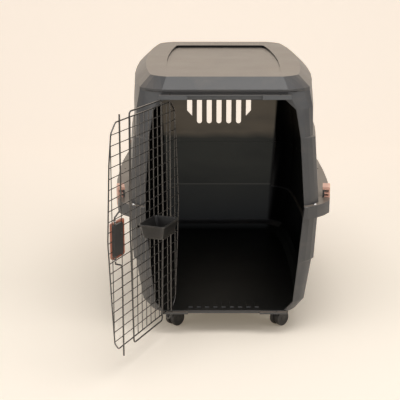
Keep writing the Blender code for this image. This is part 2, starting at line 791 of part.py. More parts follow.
def make_rim_fasteners(steel, root):
    head_z = LEDGE_Z + SEAM_GAP
    nut_top = TUB_TOP_Z - RIM_PLATE - SEAM_GAP
    tail = nut_top - NUT_HEIGHT - BOLT_HEAD_HEIGHT / 2
    bolt_profile = [
        (BOLT_RADIUS, tail),
        (BOLT_RADIUS, head_z),
        (BOLT_HEAD_RADIUS, head_z),
        (BOLT_HEAD_RADIUS, head_z + BOLT_HEAD_HEIGHT * 0.5),
        (BOLT_HEAD_RADIUS * 0.6, head_z + BOLT_HEAD_HEIGHT),
    ]
    bolt_mesh = mesh_from("rim_bolt", [turned_solid(bolt_profile, 12)], smooth=True)
    bolt_mesh.materials.append(steel)
    nut_bore = (BOLT_RADIUS + SEAM_GAP) / math.cos(math.pi / 6)
    nut = turned(
        [
            (nut_bore, nut_top - NUT_HEIGHT),
            (NUT_RADIUS, nut_top - NUT_HEIGHT),
            (NUT_RADIUS, nut_top),
            (nut_bore, nut_top),
        ],
        6,
    )
    nut_mesh = mesh_from("rim_nut", [nut])
    nut_mesh.materials.append(steel)
    for i, (x, y) in enumerate(rim_bolt_places(), start=1):
        put_in_scene(f"rim_bolt_{i}", bolt_mesh, root, (x, y, 0))
        put_in_scene(f"rim_nut_{i}", nut_mesh, root, (x, y, 0))


def clip_mesh(plastic):
    """A clip about its pin: knuckle, outer plate, two fingers and a hook over the catch."""
    half = CLIP_LENGTH / 2
    ledge = CLIP_PIVOT_DROP
    outer = CLIP_PIVOT_IN
    inner = outer - CLIP_PLATE
    top = ledge + CLIP_ABOVE
    tip = CLIP_REACH - CLIP_PIVOT_IN
    press = ledge + FIT_GAP
    hook = ledge + CATCH_HEIGHT + FIT_GAP
    middle = (press + CLIP_FINGER + hook - CLIP_FINGER) / 2
    touch = CATCH_OUT - CLIP_PIVOT_IN - FIT_GAP
    profile = [
        (outer, 2.5 * KNUCKLE_RADIUS),
        (outer, top - CLIP_FINGER / 2),
        (outer - CLIP_FINGER / 2, top),
        (-tip, top),
        (-tip, hook),
        (inner, hook),
        (inner, middle + CLIP_FINGER / 2),
        (-touch, middle + CLIP_FINGER / 2),
        (-touch, middle - CLIP_FINGER / 2),
        (inner, middle - CLIP_FINGER / 2),
        (inner, press + CLIP_FINGER),
        (-touch, press + CLIP_FINGER),
        (-touch, press),
        (inner, press),
        (inner, 2.5 * KNUCKLE_RADIUS),
    ]
    clip = solid("clip_base", [prism_along_y(profile, -half, half)], plastic)
    reach = KNUCKLE_LENGTH / 2
    barrel = circle(KNUCKLE_RADIUS, 12)
    arm = [
        (0.0, -KNUCKLE_RADIUS / 2),
        (outer - FIT_GAP, -KNUCKLE_RADIUS / 2),
        (outer - FIT_GAP, 3 * KNUCKLE_RADIUS),
        (inner + FIT_GAP, 3 * KNUCKLE_RADIUS),
        (inner + FIT_GAP, KNUCKLE_RADIUS / 2),
        (0.0, KNUCKLE_RADIUS / 2),
    ]
    fuse(clip, "clip_arm", [prism_along_y(arm, -reach, reach)])
    fuse(clip, "clip_knuckle", [prism_along_y(barrel, -reach - FIT_GAP / 2, reach + FIT_GAP / 2)])
    cut(clip, "clip_bore", [cylinder_y(0, 0, CLIP_PIN_RADIUS + FIT_GAP, -half, half, 10)])
    return settled_mesh(clip, "clip", smooth=False)


def make_clips(orange, steel, root):
    mesh = clip_mesh(orange)
    length = KNUCKLE_LENGTH / 2 + SKIRT_CLEARANCE + LUG_WIDTH
    pin_mesh = mesh_from("clip_pin", [cylinder_y(0, 0, CLIP_PIN_RADIUS, -length, length, 10)], smooth=True)
    pin_mesh.materials.append(steel)
    for i, (x, y, turn) in enumerate(clip_places(), start=1):
        pivot = (x - CLIP_PIVOT_IN * math.cos(turn), y - CLIP_PIVOT_IN * math.sin(turn))
        place = (*pivot, LEDGE_Z - CLIP_PIVOT_DROP)
        put_in_scene(f"side_clip_{i}", mesh, root, place, turn)
        put_in_scene(f"clip_pin_{i}", pin_mesh, root, place, turn)


def caster_meshes(black, steel, rubber):
    """The caster's pieces about their own axes: hood and stem on the swivel, axle and wheel on the axle."""
    axle_z = WHEEL_RADIUS
    top = CASTER_HEIGHT - SEAM_GAP - COLLAR_SEAT - SEAM_GAP
    half_web = WEB_WIDTH / 2
    outer = WHEEL_RADIUS + FENDER_GAP + FENDER_THICKNESS
    hub_bottom = axle_z + WHEEL_RADIUS + FIT_GAP
    hub = [(HUB_RADIUS, hub_bottom), (HUB_RADIUS, top)]
    hood = solid("hood_base", [turned_solid(hub, 16)], black)
    web = [(CASTER_TRAIL + px, axle_z + pz) for px, pz in circle(WHEEL_RADIUS * 0.8, 14)]
    fuse(hood, "caster_web", [prism_along_y(web, -half_web, half_web)])
    neck_x = -HUB_RADIUS * 0.7
    neck = [
        (neck_x, axle_z + WHEEL_RADIUS * 0.6),
        (CASTER_TRAIL, axle_z),
        (CASTER_TRAIL, top - 0.002),
        (neck_x, top - 0.002),
    ]
    fuse(hood, "caster_neck", [prism_along_y(neck, -half_web + 0.0005, half_web - 0.0005)])
    arc = []
    steps, low, high = 7, math.radians(FENDER_FROM_DEG), math.radians(FENDER_TO_DEG)
    for radius, order in ((outer, range(steps + 1)), (outer - FENDER_THICKNESS, range(steps, -1, -1))):
        for i in order:
            angle = low + (high - low) * i / steps
            arc.append((CASTER_TRAIL + radius * math.cos(angle), axle_z + radius * math.sin(angle)))
    reach = half_web + SEAM_GAP + WHEEL_WIDTH * 0.72
    fuse(hood, "caster_fender", [prism_along_y(arc, -reach, reach)])
    bore = AXLE_RADIUS + SEAM_GAP
    stem_bore = STEM_RADIUS + SEAM_GAP
    stem_bottom = axle_z + WHEEL_RADIUS * 0.72
    cuts = [cylinder_z(0, 0, stem_bore, stem_bottom - SEAM_GAP, top + WALL, 16)]
    cut(hood, "caster_stem_bore", cuts)
    cut(hood, "caster_axle_bore", [cylinder_y(CASTER_TRAIL, axle_z, bore, -half_web * 2, half_web * 2, 12)])
    hood_mesh = settled_mesh(hood, "caster_hood")

    collar = COLLAR_SEAT
    seat = CASTER_HEIGHT - SEAM_GAP
    stem_profile = [
        (STEM_RADIUS, stem_bottom),
        (STEM_RADIUS, seat - collar),
        (2 * STEM_RADIUS, seat - collar),
        (2 * STEM_RADIUS, seat),
        (STEM_RADIUS, seat),
        (STEM_RADIUS, FLOOR_Z - FIT_GAP),
    ]
    stem_mesh = mesh_from("caster_stem", [turned_solid(stem_profile, 12)], smooth=True)
    stem_mesh.materials.append(steel)

    reach = half_web + SEAM_GAP + WHEEL_WIDTH * 0.75
    axle_mesh = mesh_from("caster_axle", [cylinder_y(0, 0, AXLE_RADIUS, -reach, reach, 12)], smooth=True)
    axle_mesh.materials.append(steel)

    bottom = WHEEL_WIDTH * 0.78
    cap = 0.65 * WHEEL_RADIUS
    profile = [
        (bore, 0.0),
        (WHEEL_RADIUS * 0.93, 0.0),
        (WHEEL_RADIUS, WHEEL_WIDTH * 0.18),
        (WHEEL_RADIUS, WHEEL_WIDTH * 0.82),
        (WHEEL_RADIUS * 0.92, WHEEL_WIDTH),
        (cap * 1.15, WHEEL_WIDTH),
        (cap, WHEEL_WIDTH * 0.93),
    ]
    profile.insert(0, (bore, bottom))
    wheel_mesh = mesh_from("caster_wheel", [turned_solid(profile, 20)], smooth=True)
    wheel_mesh.materials.append(rubber)
    return hood_mesh, stem_mesh, axle_mesh, wheel_mesh


def make_casters(black, steel, rubber, root):
    hood_mesh, stem_mesh, axle_mesh, wheel_mesh = caster_meshes(black, steel, rubber)
    for i, (x, y) in enumerate(caster_places(), start=1):
        swivel = put_in_scene(f"caster_{i}", None, root, (x, y, 0), math.radians(CASTER_TURN_DEG))
        put_in_scene(f"caster_hood_{i}", hood_mesh, swivel)
        put_in_scene(f"caster_stem_{i}", stem_mesh, swivel)
        put_in_scene(f"caster_axle_{i}", axle_mesh, swivel, (CASTER_TRAIL, 0, WHEEL_RADIUS))
        for name, side in (("left", 1), ("right", -1)):
            place = (CASTER_TRAIL, side * (WEB_WIDTH / 2 + SEAM_GAP), WHEEL_RADIUS)
            wheel = put_in_scene(f"wheel_{name}_{i}", wheel_mesh, swivel, place)
            wheel.rotation_euler[0] = -side * math.pi / 2


def frame_outline():
    """Centre line of the door's frame, as (x, z) points measured from the hinge rod."""
    inner = offset(opening_outline(), FRAME_CLEARANCE)
    return [(HINGE_HALF_SPAN + x, z) for x, z in inner]


def span(outline, value, axis):
    """The ends of an outline's crossing with the line x = value (axis 0) or z = value (axis 1)."""
    found = []
    for here, after in zip(outline, outline[1:] + outline[:1]):
        low, high = sorted((here[axis], after[axis]))
        if low < value <= high:
            share = (value - here[axis]) / (after[axis] - here[axis])
            found.append(here[1 - axis] + share * (after[1 - axis] - here[1 - axis]))
    return min(found), max(found)


def wire_height(index):
    return SILL_Z + FRAME_CLEARANCE + WIRE_PITCH * index


def make_door_mesh(wire, door):
    """Frame, cross wires and uprights, all on the outer side of the bars that carry them."""
    outline = frame_outline()
    half = FRAME_WIDTH / 2
    back = -FRAME_AHEAD - FRAME_WIDTH
    outer, inner = offset(outline, -half), offset(outline, half)
    count = len(outline)
    loops = [
        [(x, back, z) for x, z in outer],
        [(x, back + FRAME_WIDTH, z) for x, z in outer],
        [(x, back + FRAME_WIDTH, z) for x, z in inner],
        [(x, back, z) for x, z in inner],
    ]
    points = [p for loop in loops for p in loop]
    faces = []
    for row in range(4):
        low, high = row * count, (row + 1) % 4 * count
        for i in range(count):
            j = (i + 1) % count
            faces.append([low + i, low + j, high + j, high + i])
    mesh = solid("door_mesh", [(points, faces)], wire, door)
    reach = WIRE_WIDTH / 2
    top = max(z for _, z in outline)
    across = []
    index = 1
    while wire_height(index) < top - WIRE_PITCH / 2:
        z = wire_height(index)
        low, high = span(outline, z, 1)
        across.append(box(low, high, -WIRE_AHEAD - WIRE_WIDTH, -WIRE_AHEAD, z - reach, z + reach))
        index += 1
    fuse(mesh, "cross_wires", across)
    upright = []
    for step in (0.0, *UPRIGHTS):
        for x in sorted({HINGE_HALF_SPAN - step, HINGE_HALF_SPAN + step}):
            low, high = span(outline, x, 0)
            upright.append(
                box(x - reach, x + reach, -UPRIGHT_AHEAD - WIRE_WIDTH, -UPRIGHT_AHEAD, low, high)
            )
    fuse(mesh, "upright_wires", upright)
    return mesh


def make_door_loop(steel, door):
    """A heavier loop of bar down the door's middle, as flat as its rods, that stops against both lips."""
    top = HEAD_LIP_Z + LOOP_ABOVE
    bottom = SILL_LIP_TOP_Z - LOOP_BELOW
    route = []
    for side in (1, -1):
        foot = HINGE_HALF_SPAN + side * LOOP_FOOT_HALF
        waist_x = HINGE_HALF_SPAN + side * LOOP_WAIST_HALF
        head = HINGE_HALF_SPAN + side * LOOP_TOP_HALF
        inward = -side * LOOP_CORNER
        run = [
            (foot + inward, 0.0, bottom),
            (foot + inward * 0.3, 0.0, bottom + LOOP_CORNER * 0.12),
            (foot, 0.0, bottom + LOOP_CORNER * 0.6),
            (waist_x, 0.0, LEDGE_Z),
            (head, 0.0, top - LOOP_CORNER * 0.6),
            (head + inward * 0.3, 0.0, top - LOOP_CORNER * 0.12),
            (head + inward, 0.0, top),
        ]
        route += run if side > 0 else run[::-1]
    return bar("door_loop", route, BAR_RADIUS, steel, door, closed=True)


def make_hinge_rod(steel, door):
    """The rod that the door hangs on, with the bent tail that keeps it in the sill lip."""
    top = HEAD_LIP_TOP_Z + ROD_ABOVE
    low = SILL_LIP_Z - BAR_RADIUS - SEAM_GAP - 0.002
    route = [
        (0.0, 0.0, top),
        (0.0, 0.0, low),
        (0.0025, -0.0025, low - 0.002),
        (0.006, -0.007, low - ROD_BELOW - 0.004),
        (0.010, -0.012, low - 0.003),
    ]
    return bar("hinge_rod", route, BAR_RADIUS, steel, door)


def latch_positions():
    """x of the latch bars at the lips and behind the casing, and the height of the latch's middle."""
    bar_x = HINGE_HALF_SPAN + LATCH_BAR
    return bar_x, bar_x + LATCH_JOG, wire_height(LATCH_WIRE)


def spring_ends():
    """Seat and collar heights above the latch's middle wire: the spring stands between two cross wires."""
    seat = WIRE_PITCH + WIRE_WIDTH / 2 + SEAT_RISE
    collar = 2 * WIRE_PITCH - WIRE_WIDTH / 2 - FIT_GAP - COLLAR_HEIGHT
    return seat, collar


def make_latch_bars(steel, door):
    near, far, middle = latch_positions()
    seat, collar = spring_ends()
    for name, sign in (("upper", 1), ("lower", -1)):
        tip = HEAD_LIP_Z + HEAD_LIP_HEIGHT - BAR_TIP_UP if sign > 0 else SILL_LIP_Z - BAR_TIP_DOWN
        heel = middle + sign * (seat - BAR_HEEL)
        face = middle + sign * collar
        end = face + sign * COLLAR_HEIGHT
        lift = sign * FIT_GAP / 2
        jog = end + sign * BAR_STRAIGHT
        swell = COLLAR_RADIUS / BAR_RADIUS
        route = [
            (far, 0.0, heel),
            (far, 0.0, face),
            (far, 0.0, face + lift),
            (far, 0.0, end - lift),
            (far, 0.0, end),
            (far, 0.0, jog),
            (near, 0.0, jog + sign * JOG_RISE),
            (near, 0.0, tip),
        ]
        shares = [1, 1, swell, swell, 1, 1, 1, 1]
        bar(f"latch_bar_{name}", route, BAR_RADIUS, steel, door, swell=shares)


def make_springs(steel, door):
    """A coil round each latch bar, between its seat in the plate and the bar's collar."""
    _, far, middle = latch_positions()
    seat, collar = spring_ends()
    radius = BAR_RADIUS + FIT_GAP + SPRING_WIRE_RADIUS
    low = seat + SEAM_GAP + SPRING_WIRE_RADIUS
    high = collar - SEAM_GAP - SPRING_WIRE_RADIUS
    steps = SPRING_TURNS * SPRING_POINTS
    for name, sign in (("upper", 1), ("lower", -1)):
        route = []
        for i in range(steps + 1):
            angle = 2 * math.pi * i / SPRING_POINTS
            z = middle + sign * (low + (high - low) * i / steps)
            route.append((far + radius * math.cos(angle), radius * math.sin(angle), z))
        bar(f"spring_{name}", route, SPRING_WIRE_RADIUS, steel, door, resolution=1)
    gap = (high - low) / SPRING_TURNS - 2 * SPRING_WIRE_RADIUS
    print(f"least gap between a spring's turns: {gap * 1000:.2f} mm")


def screw_heights():
    """Half-way between cross wires, so that the screws pass through the mesh."""
    return [wire_height(LATCH_WIRE - 1.5), wire_height(LATCH_WIRE + 0.5)]


def latch_planes():
    """y of the casing's back, its front and its pocket's floor, then of the plate's outer and inner faces."""
    back = -UPRIGHT_AHEAD - WIRE_WIDTH - 2 * FIT_GAP
    front = back - CASING_DEPTH
    outer = SEAM_GAP - WIRE_AHEAD
    return back, front, front + POCKET_DEPTH, outer, outer + PLATE_THICKNESS


def grip_sides():
    """x of the grip's two sides, then of its tongue's."""
    right = HINGE_HALF_SPAN + LATCH_BAR + CASING_OFFSET + POCKET_HALF_WIDTH - GRIP_PLAY
    left = right - GRIP_WIDTH
    tongue = (left + right - TONGUE_WIDTH) / 2
    return left, right, tongue, tongue + TONGUE_WIDTH


def tongue_way(y0, y1):
    """The slot that the grip's tongue slides along, between two planes."""
    _, _, left, right = grip_sides()
    low = wire_height(LATCH_WIRE) + TONGUE_RISE
    high = low + TONGUE_HEIGHT
    return box(left - LATCH_TRAVEL - FIT_GAP, right + FIT_GAP, y0, y1, low - FIT_GAP, high + FIT_GAP)


def soft_slab(outline, back, face, edge):
    """A slab between two planes, its rim softened at the face."""
    shoulder = face - math.copysign(edge, face - back)
    return loft(
        [
            [(x, back, z) for x, z in outline],
            [(x, shoulder, z) for x, z in outline],
            [(x, face, z) for x, z in offset(outline, edge * 0.8)],
        ]
    )


def make_latch_casing(orange, door):
    """The latch's outer half: a shallow pocket for the fingers, and two bosses through the mesh."""
    near, _, middle = latch_positions()
    back, front, floor, outer, _ = latch_planes()
    centre = near + CASING_OFFSET
    low, high = middle - CASING_BELOW, middle + CASING_ABOVE
    body = rounded_rectangle(
        centre - CASING_HALF_WIDTH, centre + CASING_HALF_WIDTH, low, high, 2 * LATCH_EDGE, 2
    )
    casing = solid("latch_casing", [soft_slab(body, back, front, LATCH_EDGE)], orange, door, smooth=True)
    screw_x = near + SCREW_OFFSET
    bosses = [
        cylinder_y(screw_x, z, SCREW_BOSS_RADIUS, back - LATCH_EDGE, outer - SEAM_GAP, 12)
        for z in screw_heights()
    ]
    fuse(casing, "casing_bosses", bosses)
    low, high = middle - POCKET_HALF_HEIGHT, middle + POCKET_HALF_HEIGHT
    pocket = rounded_rectangle(
        centre - POCKET_HALF_WIDTH, centre + POCKET_HALF_WIDTH, low, high, 2 * LATCH_EDGE, 2
    )
    cut(casing, "casing_pocket", [prism_along_y(pocket, front - LATCH_EDGE, floor)])
    bores = [
        cylinder_y(screw_x, z, SCREW_RADIUS + SEAM_GAP, floor + SCREW_COVER, outer + LATCH_EDGE, 10)
        for z in screw_heights()
    ]
    cut(casing, "casing_bores", bores)
    cut(casing, "casing_slot", [tongue_way(front, back + LATCH_EDGE)])


def make_latch_grip(orange, door):
    """The paddle in the casing's pocket, and the tongue that it drives the bars by."""
    middle = wire_height(LATCH_WIRE)
    _, front, floor, _, _ = latch_planes()
    left, right, tongue_left, tongue_right = grip_sides()
    reach = POCKET_HALF_HEIGHT - GRIP_PLAY
    paddle = rounded_rectangle(left, right, middle - reach, middle + reach, LATCH_EDGE, 2)
    edge = LATCH_EDGE * 0.6
    slab = soft_slab(paddle, floor - SEAM_GAP, front + edge, edge)
    grip = solid("latch_grip", [slab], orange, door, smooth=True)
    low = middle + TONGUE_RISE
    tongue = box(tongue_left, tongue_right, floor - LATCH_EDGE, TONGUE_END, low, low + TONGUE_HEIGHT)
    fuse(grip, "grip_tongue", [tongue])


def make_latch_plate(black, door):
    """The inner half of the latch: the bars run in it, and each spring stands on a shoulder of its bore."""
    near, far, middle = latch_positions()
    _, _, _, outer, inner = latch_planes()
    seat, collar = spring_ends()
    centre = near + PLATE_OFFSET
    outline = rounded_rectangle(
        centre - PLATE_HALF_WIDTH,
        centre + PLATE_HALF_WIDTH,
        middle - PLATE_BELOW,
        middle + PLATE_ABOVE,
        2 * LATCH_EDGE,
        2,
    )
    slab = soft_slab(outline, outer, inner, LATCH_EDGE / 2)
    plate = solid("latch_plate", [slab], black, door, smooth=True)
    bore = cylinder_z(far, 0.0, BAR_RADIUS + FIT_GAP, middle - collar, middle + collar, 12)
    cut(plate, "plate_bore", [bore])
    chambers = []
    for sign in (1, -1):
        low, high = sorted((middle + sign * seat, middle + sign * collar))
        chambers.append(cylinder_z(far, 0.0, COLLAR_RADIUS + FIT_GAP, low, high, 12))
    cut(plate, "plate_chambers", chambers)
    holes = [
        cylinder_y(near + SCREW_OFFSET, z, SCREW_RADIUS + SEAM_GAP, outer - WALL, inner + WALL, 10)
        for z in screw_heights()
    ]
    cut(plate, "plate_holes", [tongue_way(outer - WALL, TONGUE_END + FIT_GAP), *holes])


def make_latch_screws(steel, door):
    near, _, _ = latch_positions()
    _, _, floor, _, inner = latch_planes()
    head = inner + SEAM_GAP
    tail = floor + 2 * SCREW_COVER
    profile = (
        (SCREW_RADIUS, tail),
        (SCREW_RADIUS, head),
        (SCREW_HEAD_RADIUS, head),
        (SCREW_HEAD_RADIUS * 0.7, head + SCREW_HEAD_HEIGHT),
    )
    for name, z in zip(("lower", "upper"), screw_heights()):
        rings = [[(near + SCREW_OFFSET + px, y, z + pz) for px, pz in circle(r, 12)] for r, y in profile]
        solid(f"latch_screw_{name}", [loft(rings)], steel, door, smooth=True)


def make_bowl(black, door):
    """A tapered bowl that hooks over one cross wire on the door's inner side."""
    x0 = HINGE_HALF_SPAN + BOWL_OFFSET - BOWL_LENGTH / 2
    x1 = x0 + BOWL_LENGTH
    y0 = SEAM_GAP - WIRE_AHEAD
    y1 = y0 + BOWL_WIDTH
    rim = wire_height(LATCH_WIRE) + BOWL_RISE
    base = rim - BOWL_DEPTH

    def bowl_ring(inset, z):
        radius = max(BOWL_CORNER - inset / 2, 2 * BOWL_WALL)
        outline = rounded_rectangle(x0 + inset, x1 - inset, y0 + inset, y1 - inset, radius)
        return ring(outline, z)

    inner = BOWL_RIM + BOWL_WALL
    rings = [
        bowl_ring(BOWL_RIM + BOWL_TAPER, base),
        bowl_ring(BOWL_RIM, rim - 2 * BOWL_WALL),
        bowl_ring(0.0, rim - 1.5 * BOWL_WALL),
        bowl_ring(0.0, rim - BOWL_WALL / 2),
        bowl_ring(BOWL_WALL / 2, rim),
        bowl_ring(inner - BOWL_WALL / 2, rim),
        bowl_ring(inner, rim - BOWL_WALL / 2),
        bowl_ring(inner + BOWL_TAPER, base + BOWL_WALL),
    ]
    bowl = solid("bowl", [loft(rings)], black, door, smooth=True)
    wire_top = wire_height(LATCH_WIRE) + WIRE_WIDTH / 2
    under = wire_top + FIT_GAP
    front = -WIRE_AHEAD - WIRE_WIDTH - FIT_GAP
    root_y = y0 + BOWL_RIM + BOWL_WALL
    back = front - HOOK_THICKNESS
    profile = [
        (root_y, under),
        (front, under),
        (front, under - HOOK_DROP),
        (back, under - HOOK_DROP),
        (back, under + HOOK_THICKNESS),
        (root_y, under + HOOK_THICKNESS),
    ]
    hooks = []
    for side in (1, -1):
        x = HINGE_HALF_SPAN + WIRE_PITCH / 2 + side * WIRE_PITCH
        hooks.append(prism_along_x(profile, x - HOOK_WIDTH / 2, x + HOOK_WIDTH / 2))
    fuse(bowl, "bowl_hooks", hooks)


def main():
    for thing in list(bpy.data.objects):
        bpy.data.objects.remove(thing)
    shell = material("shell_plastic", (0.075, 0.073, 0.070), 0.55)
    black = material("black_plastic", (0.022, 0.021, 0.020), 0.5)
    orange = material("terracotta_plastic", (0.42, 0.115, 0.055), 0.45)
    wire = material("coated_wire", (0.03, 0.026, 0.022), 0.35, 0.6)
    steel = material("bright_steel", (0.55, 0.54, 0.52), 0.3, 1.0)
    rubber = material("wheel_tyre", (0.035, 0.033, 0.03), 0.6)

    root = put_in_scene("crate", None, None, (0, front_plane_y(), 0))
    hinge = (-HINGE_HALF_SPAN, -HINGE_AHEAD, 0)
    door = put_in_scene("door_hinge", None, root, hinge, -math.radians(DOOR_OPEN_DEG))

    make_tub(shell, root)
    make_hood(shell, root)
    make_rim_fasteners(steel, root)
    make_clips(orange, steel, root)
    make_casters(black, steel, rubber, root)
    make_door_mesh(wire, door)
    make_door_loop(wire, door)
    make_hinge_rod(wire, door)
    make_latch_bars(wire, door)
    make_springs(steel, door)
    make_latch_casing(orange, door)
    make_latch_grip(orange, door)
    make_latch_plate(black, door)
    make_latch_screws(steel, door)
    make_bowl(black, door)


main()
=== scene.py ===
# %% [markdown]
# # A wheeled pet travel crate
# The crate is two moulded plastic shells bolted together at a rim, with a wire door standing open, a
# sprung latch, four side clips, a clip-on bowl and four swivel casters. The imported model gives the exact
# places, and this script dresses it: rounded edges, drawn wire, real finishes, a floor, lamps and a
# camera.

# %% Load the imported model
import json
import math

import bmesh
import bpy
from mathutils import Matrix, Vector


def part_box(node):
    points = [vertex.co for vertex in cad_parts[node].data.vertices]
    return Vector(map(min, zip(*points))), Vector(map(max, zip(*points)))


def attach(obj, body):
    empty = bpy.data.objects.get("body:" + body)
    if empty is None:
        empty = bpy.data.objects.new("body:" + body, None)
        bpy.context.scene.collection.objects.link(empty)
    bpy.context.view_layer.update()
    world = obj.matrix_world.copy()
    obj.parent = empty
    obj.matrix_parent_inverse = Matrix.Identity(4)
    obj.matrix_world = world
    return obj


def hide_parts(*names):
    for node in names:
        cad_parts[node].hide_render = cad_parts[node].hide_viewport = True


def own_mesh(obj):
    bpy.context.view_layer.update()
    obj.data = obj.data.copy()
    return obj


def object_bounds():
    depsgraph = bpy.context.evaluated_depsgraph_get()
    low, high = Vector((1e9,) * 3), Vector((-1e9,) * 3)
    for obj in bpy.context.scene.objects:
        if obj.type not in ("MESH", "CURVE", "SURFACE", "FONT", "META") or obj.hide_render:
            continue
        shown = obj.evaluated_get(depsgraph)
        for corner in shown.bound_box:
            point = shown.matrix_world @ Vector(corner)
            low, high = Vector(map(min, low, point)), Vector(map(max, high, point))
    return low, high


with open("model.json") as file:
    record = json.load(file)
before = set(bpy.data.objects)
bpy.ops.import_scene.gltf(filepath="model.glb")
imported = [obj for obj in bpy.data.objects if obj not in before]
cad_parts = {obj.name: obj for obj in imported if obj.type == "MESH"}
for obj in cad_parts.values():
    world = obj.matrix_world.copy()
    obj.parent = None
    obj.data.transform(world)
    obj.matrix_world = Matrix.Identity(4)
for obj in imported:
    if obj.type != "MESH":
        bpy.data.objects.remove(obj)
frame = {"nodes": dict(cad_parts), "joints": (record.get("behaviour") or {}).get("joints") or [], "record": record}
cad_low, cad_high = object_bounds()
nodes = frame["nodes"]
joints = {joint["name"]: joint for joint in frame["joints"]}
corners = [tuple(round(v, 3) for v in corner) for corner in (cad_low, cad_high)]
print(f"{len(nodes)} nodes, from {corners[0]} to {corners[1]}")

# %% [markdown]
# ## Sizes that the model already has
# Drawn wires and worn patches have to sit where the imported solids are, so these sizes repeat those of the
# model, in metres. The front plane of the body lies 5.5 mm behind the door's hinge, and y grows towards
# the rear.

# %% Sizes in metres
HINGE_AHEAD = 0.0055
FRONT_Y = joints["door_hinge"]["pos_m"][1] + HINGE_AHEAD
SILL_Z, LEDGE_Z = 0.080, 0.424
HEAD_LIP_Z, HEAD_LIP_TOP_Z, SILL_LIP_Z = 0.757, 0.771, 0.0705
HINGE_HALF_SPAN = 0.167
BAR_RADIUS = 0.0025
FIT_GAP = 0.0003
print(f"front plane at y = {FRONT_Y:.4f}, lips at z = {SILL_LIP_Z} and {HEAD_LIP_Z}")

# %% [markdown]
# ## The camera
# The photo was taken from standing height with a long lens, a little left of the crate's middle. A 96 mm
# lens on a 36 mm sensor gives the same mild perspective: the roof's far edge looks only a little
# narrower.

# %% Place the camera
LENS_MM, SENSOR_MM = 96.3, 36.0
CAMERA_X, CAMERA_AHEAD, CAMERA_Z = -0.0756, 3.1986, 1.2921
CAMERA_TILT_DEG = 75.12

lens = bpy.data.cameras.new("photo_camera")
lens.lens = LENS_MM
lens.sensor_width = SENSOR_MM
lens.clip_end = 60.0
camera = bpy.data.objects.new("photo_camera", lens)
bpy.context.scene.collection.objects.link(camera)
camera.location = (CAMERA_X, FRONT_Y - CAMERA_AHEAD, CAMERA_Z)
camera.rotation_euler = (math.radians(CAMERA_TILT_DEG), 0.0, 0.0)
bpy.context.scene.camera = camera
print(f"camera at {tuple(round(v, 3) for v in camera.location)}")

# %% [markdown]
# ## Shader maths in plain expressions
# A material in Blender is a graph of nodes. Wiring Math nodes by hand hides what they work out, so this
# small class wraps one number socket and turns Python's operators into Math nodes. `1 - mask` then means
# what it says.

# %% Numbers that add their own Math nodes
class Value:
    """One number on a surface: a socket of a material's graph."""

    def __init__(self, finish, socket):
        self.finish = finish
        self.socket = socket

    def math(self, operation, first, second=None, clamp=False):
        inputs = {0: first} if second is None else {0: first, 1: second}
        settings = {"operation": operation, "use_clamp": clamp}
        return self.finish.add("ShaderNodeMath", settings, inputs)

    def __add__(self, other):
        return self.math("ADD", self, other)

    def __sub__(self, other):
        return self.math("SUBTRACT", self, other)

    def __rsub__(self, other):
        return self.math("SUBTRACT", other, self)

    def __mul__(self, other):
        return self.math("MULTIPLY", self, other)

    def size(self):
        """The number without its sign."""
        return self.math("ABSOLUTE", self)

    def clamped(self):
        """The number, held between 0 and 1."""
        return self.math("ADD", self, 0.0, clamp=True)

    def ramp(self, low, high):
        """0 below low, 1 above high, straight in between."""
        settings = {"clamp": True}
        inputs = {0: self, 1: low, 2: high, 3: 0.0, 4: 1.0}
        return self.finish.add("ShaderNodeMapRange", settings, inputs)

    def between(self, low, high, soft):
        """1 from low to high, falling to 0 over a distance of soft on either side."""
        return self.ramp(low - soft, low) * (1 - self.ramp(high, high + soft))


print("numbers can be added, taken away, multiplied and ramped")

# %% [markdown]
# ## One place where materials are made
# Every finish is a Principled shader plus the nodes that vary it. `Finish.add` is the only method that
# makes a node: its settings go first, because some of them change which sockets there are, and then its
# inputs.

# %% A finish and its nodes
BUMP_DISTANCE = 0.001


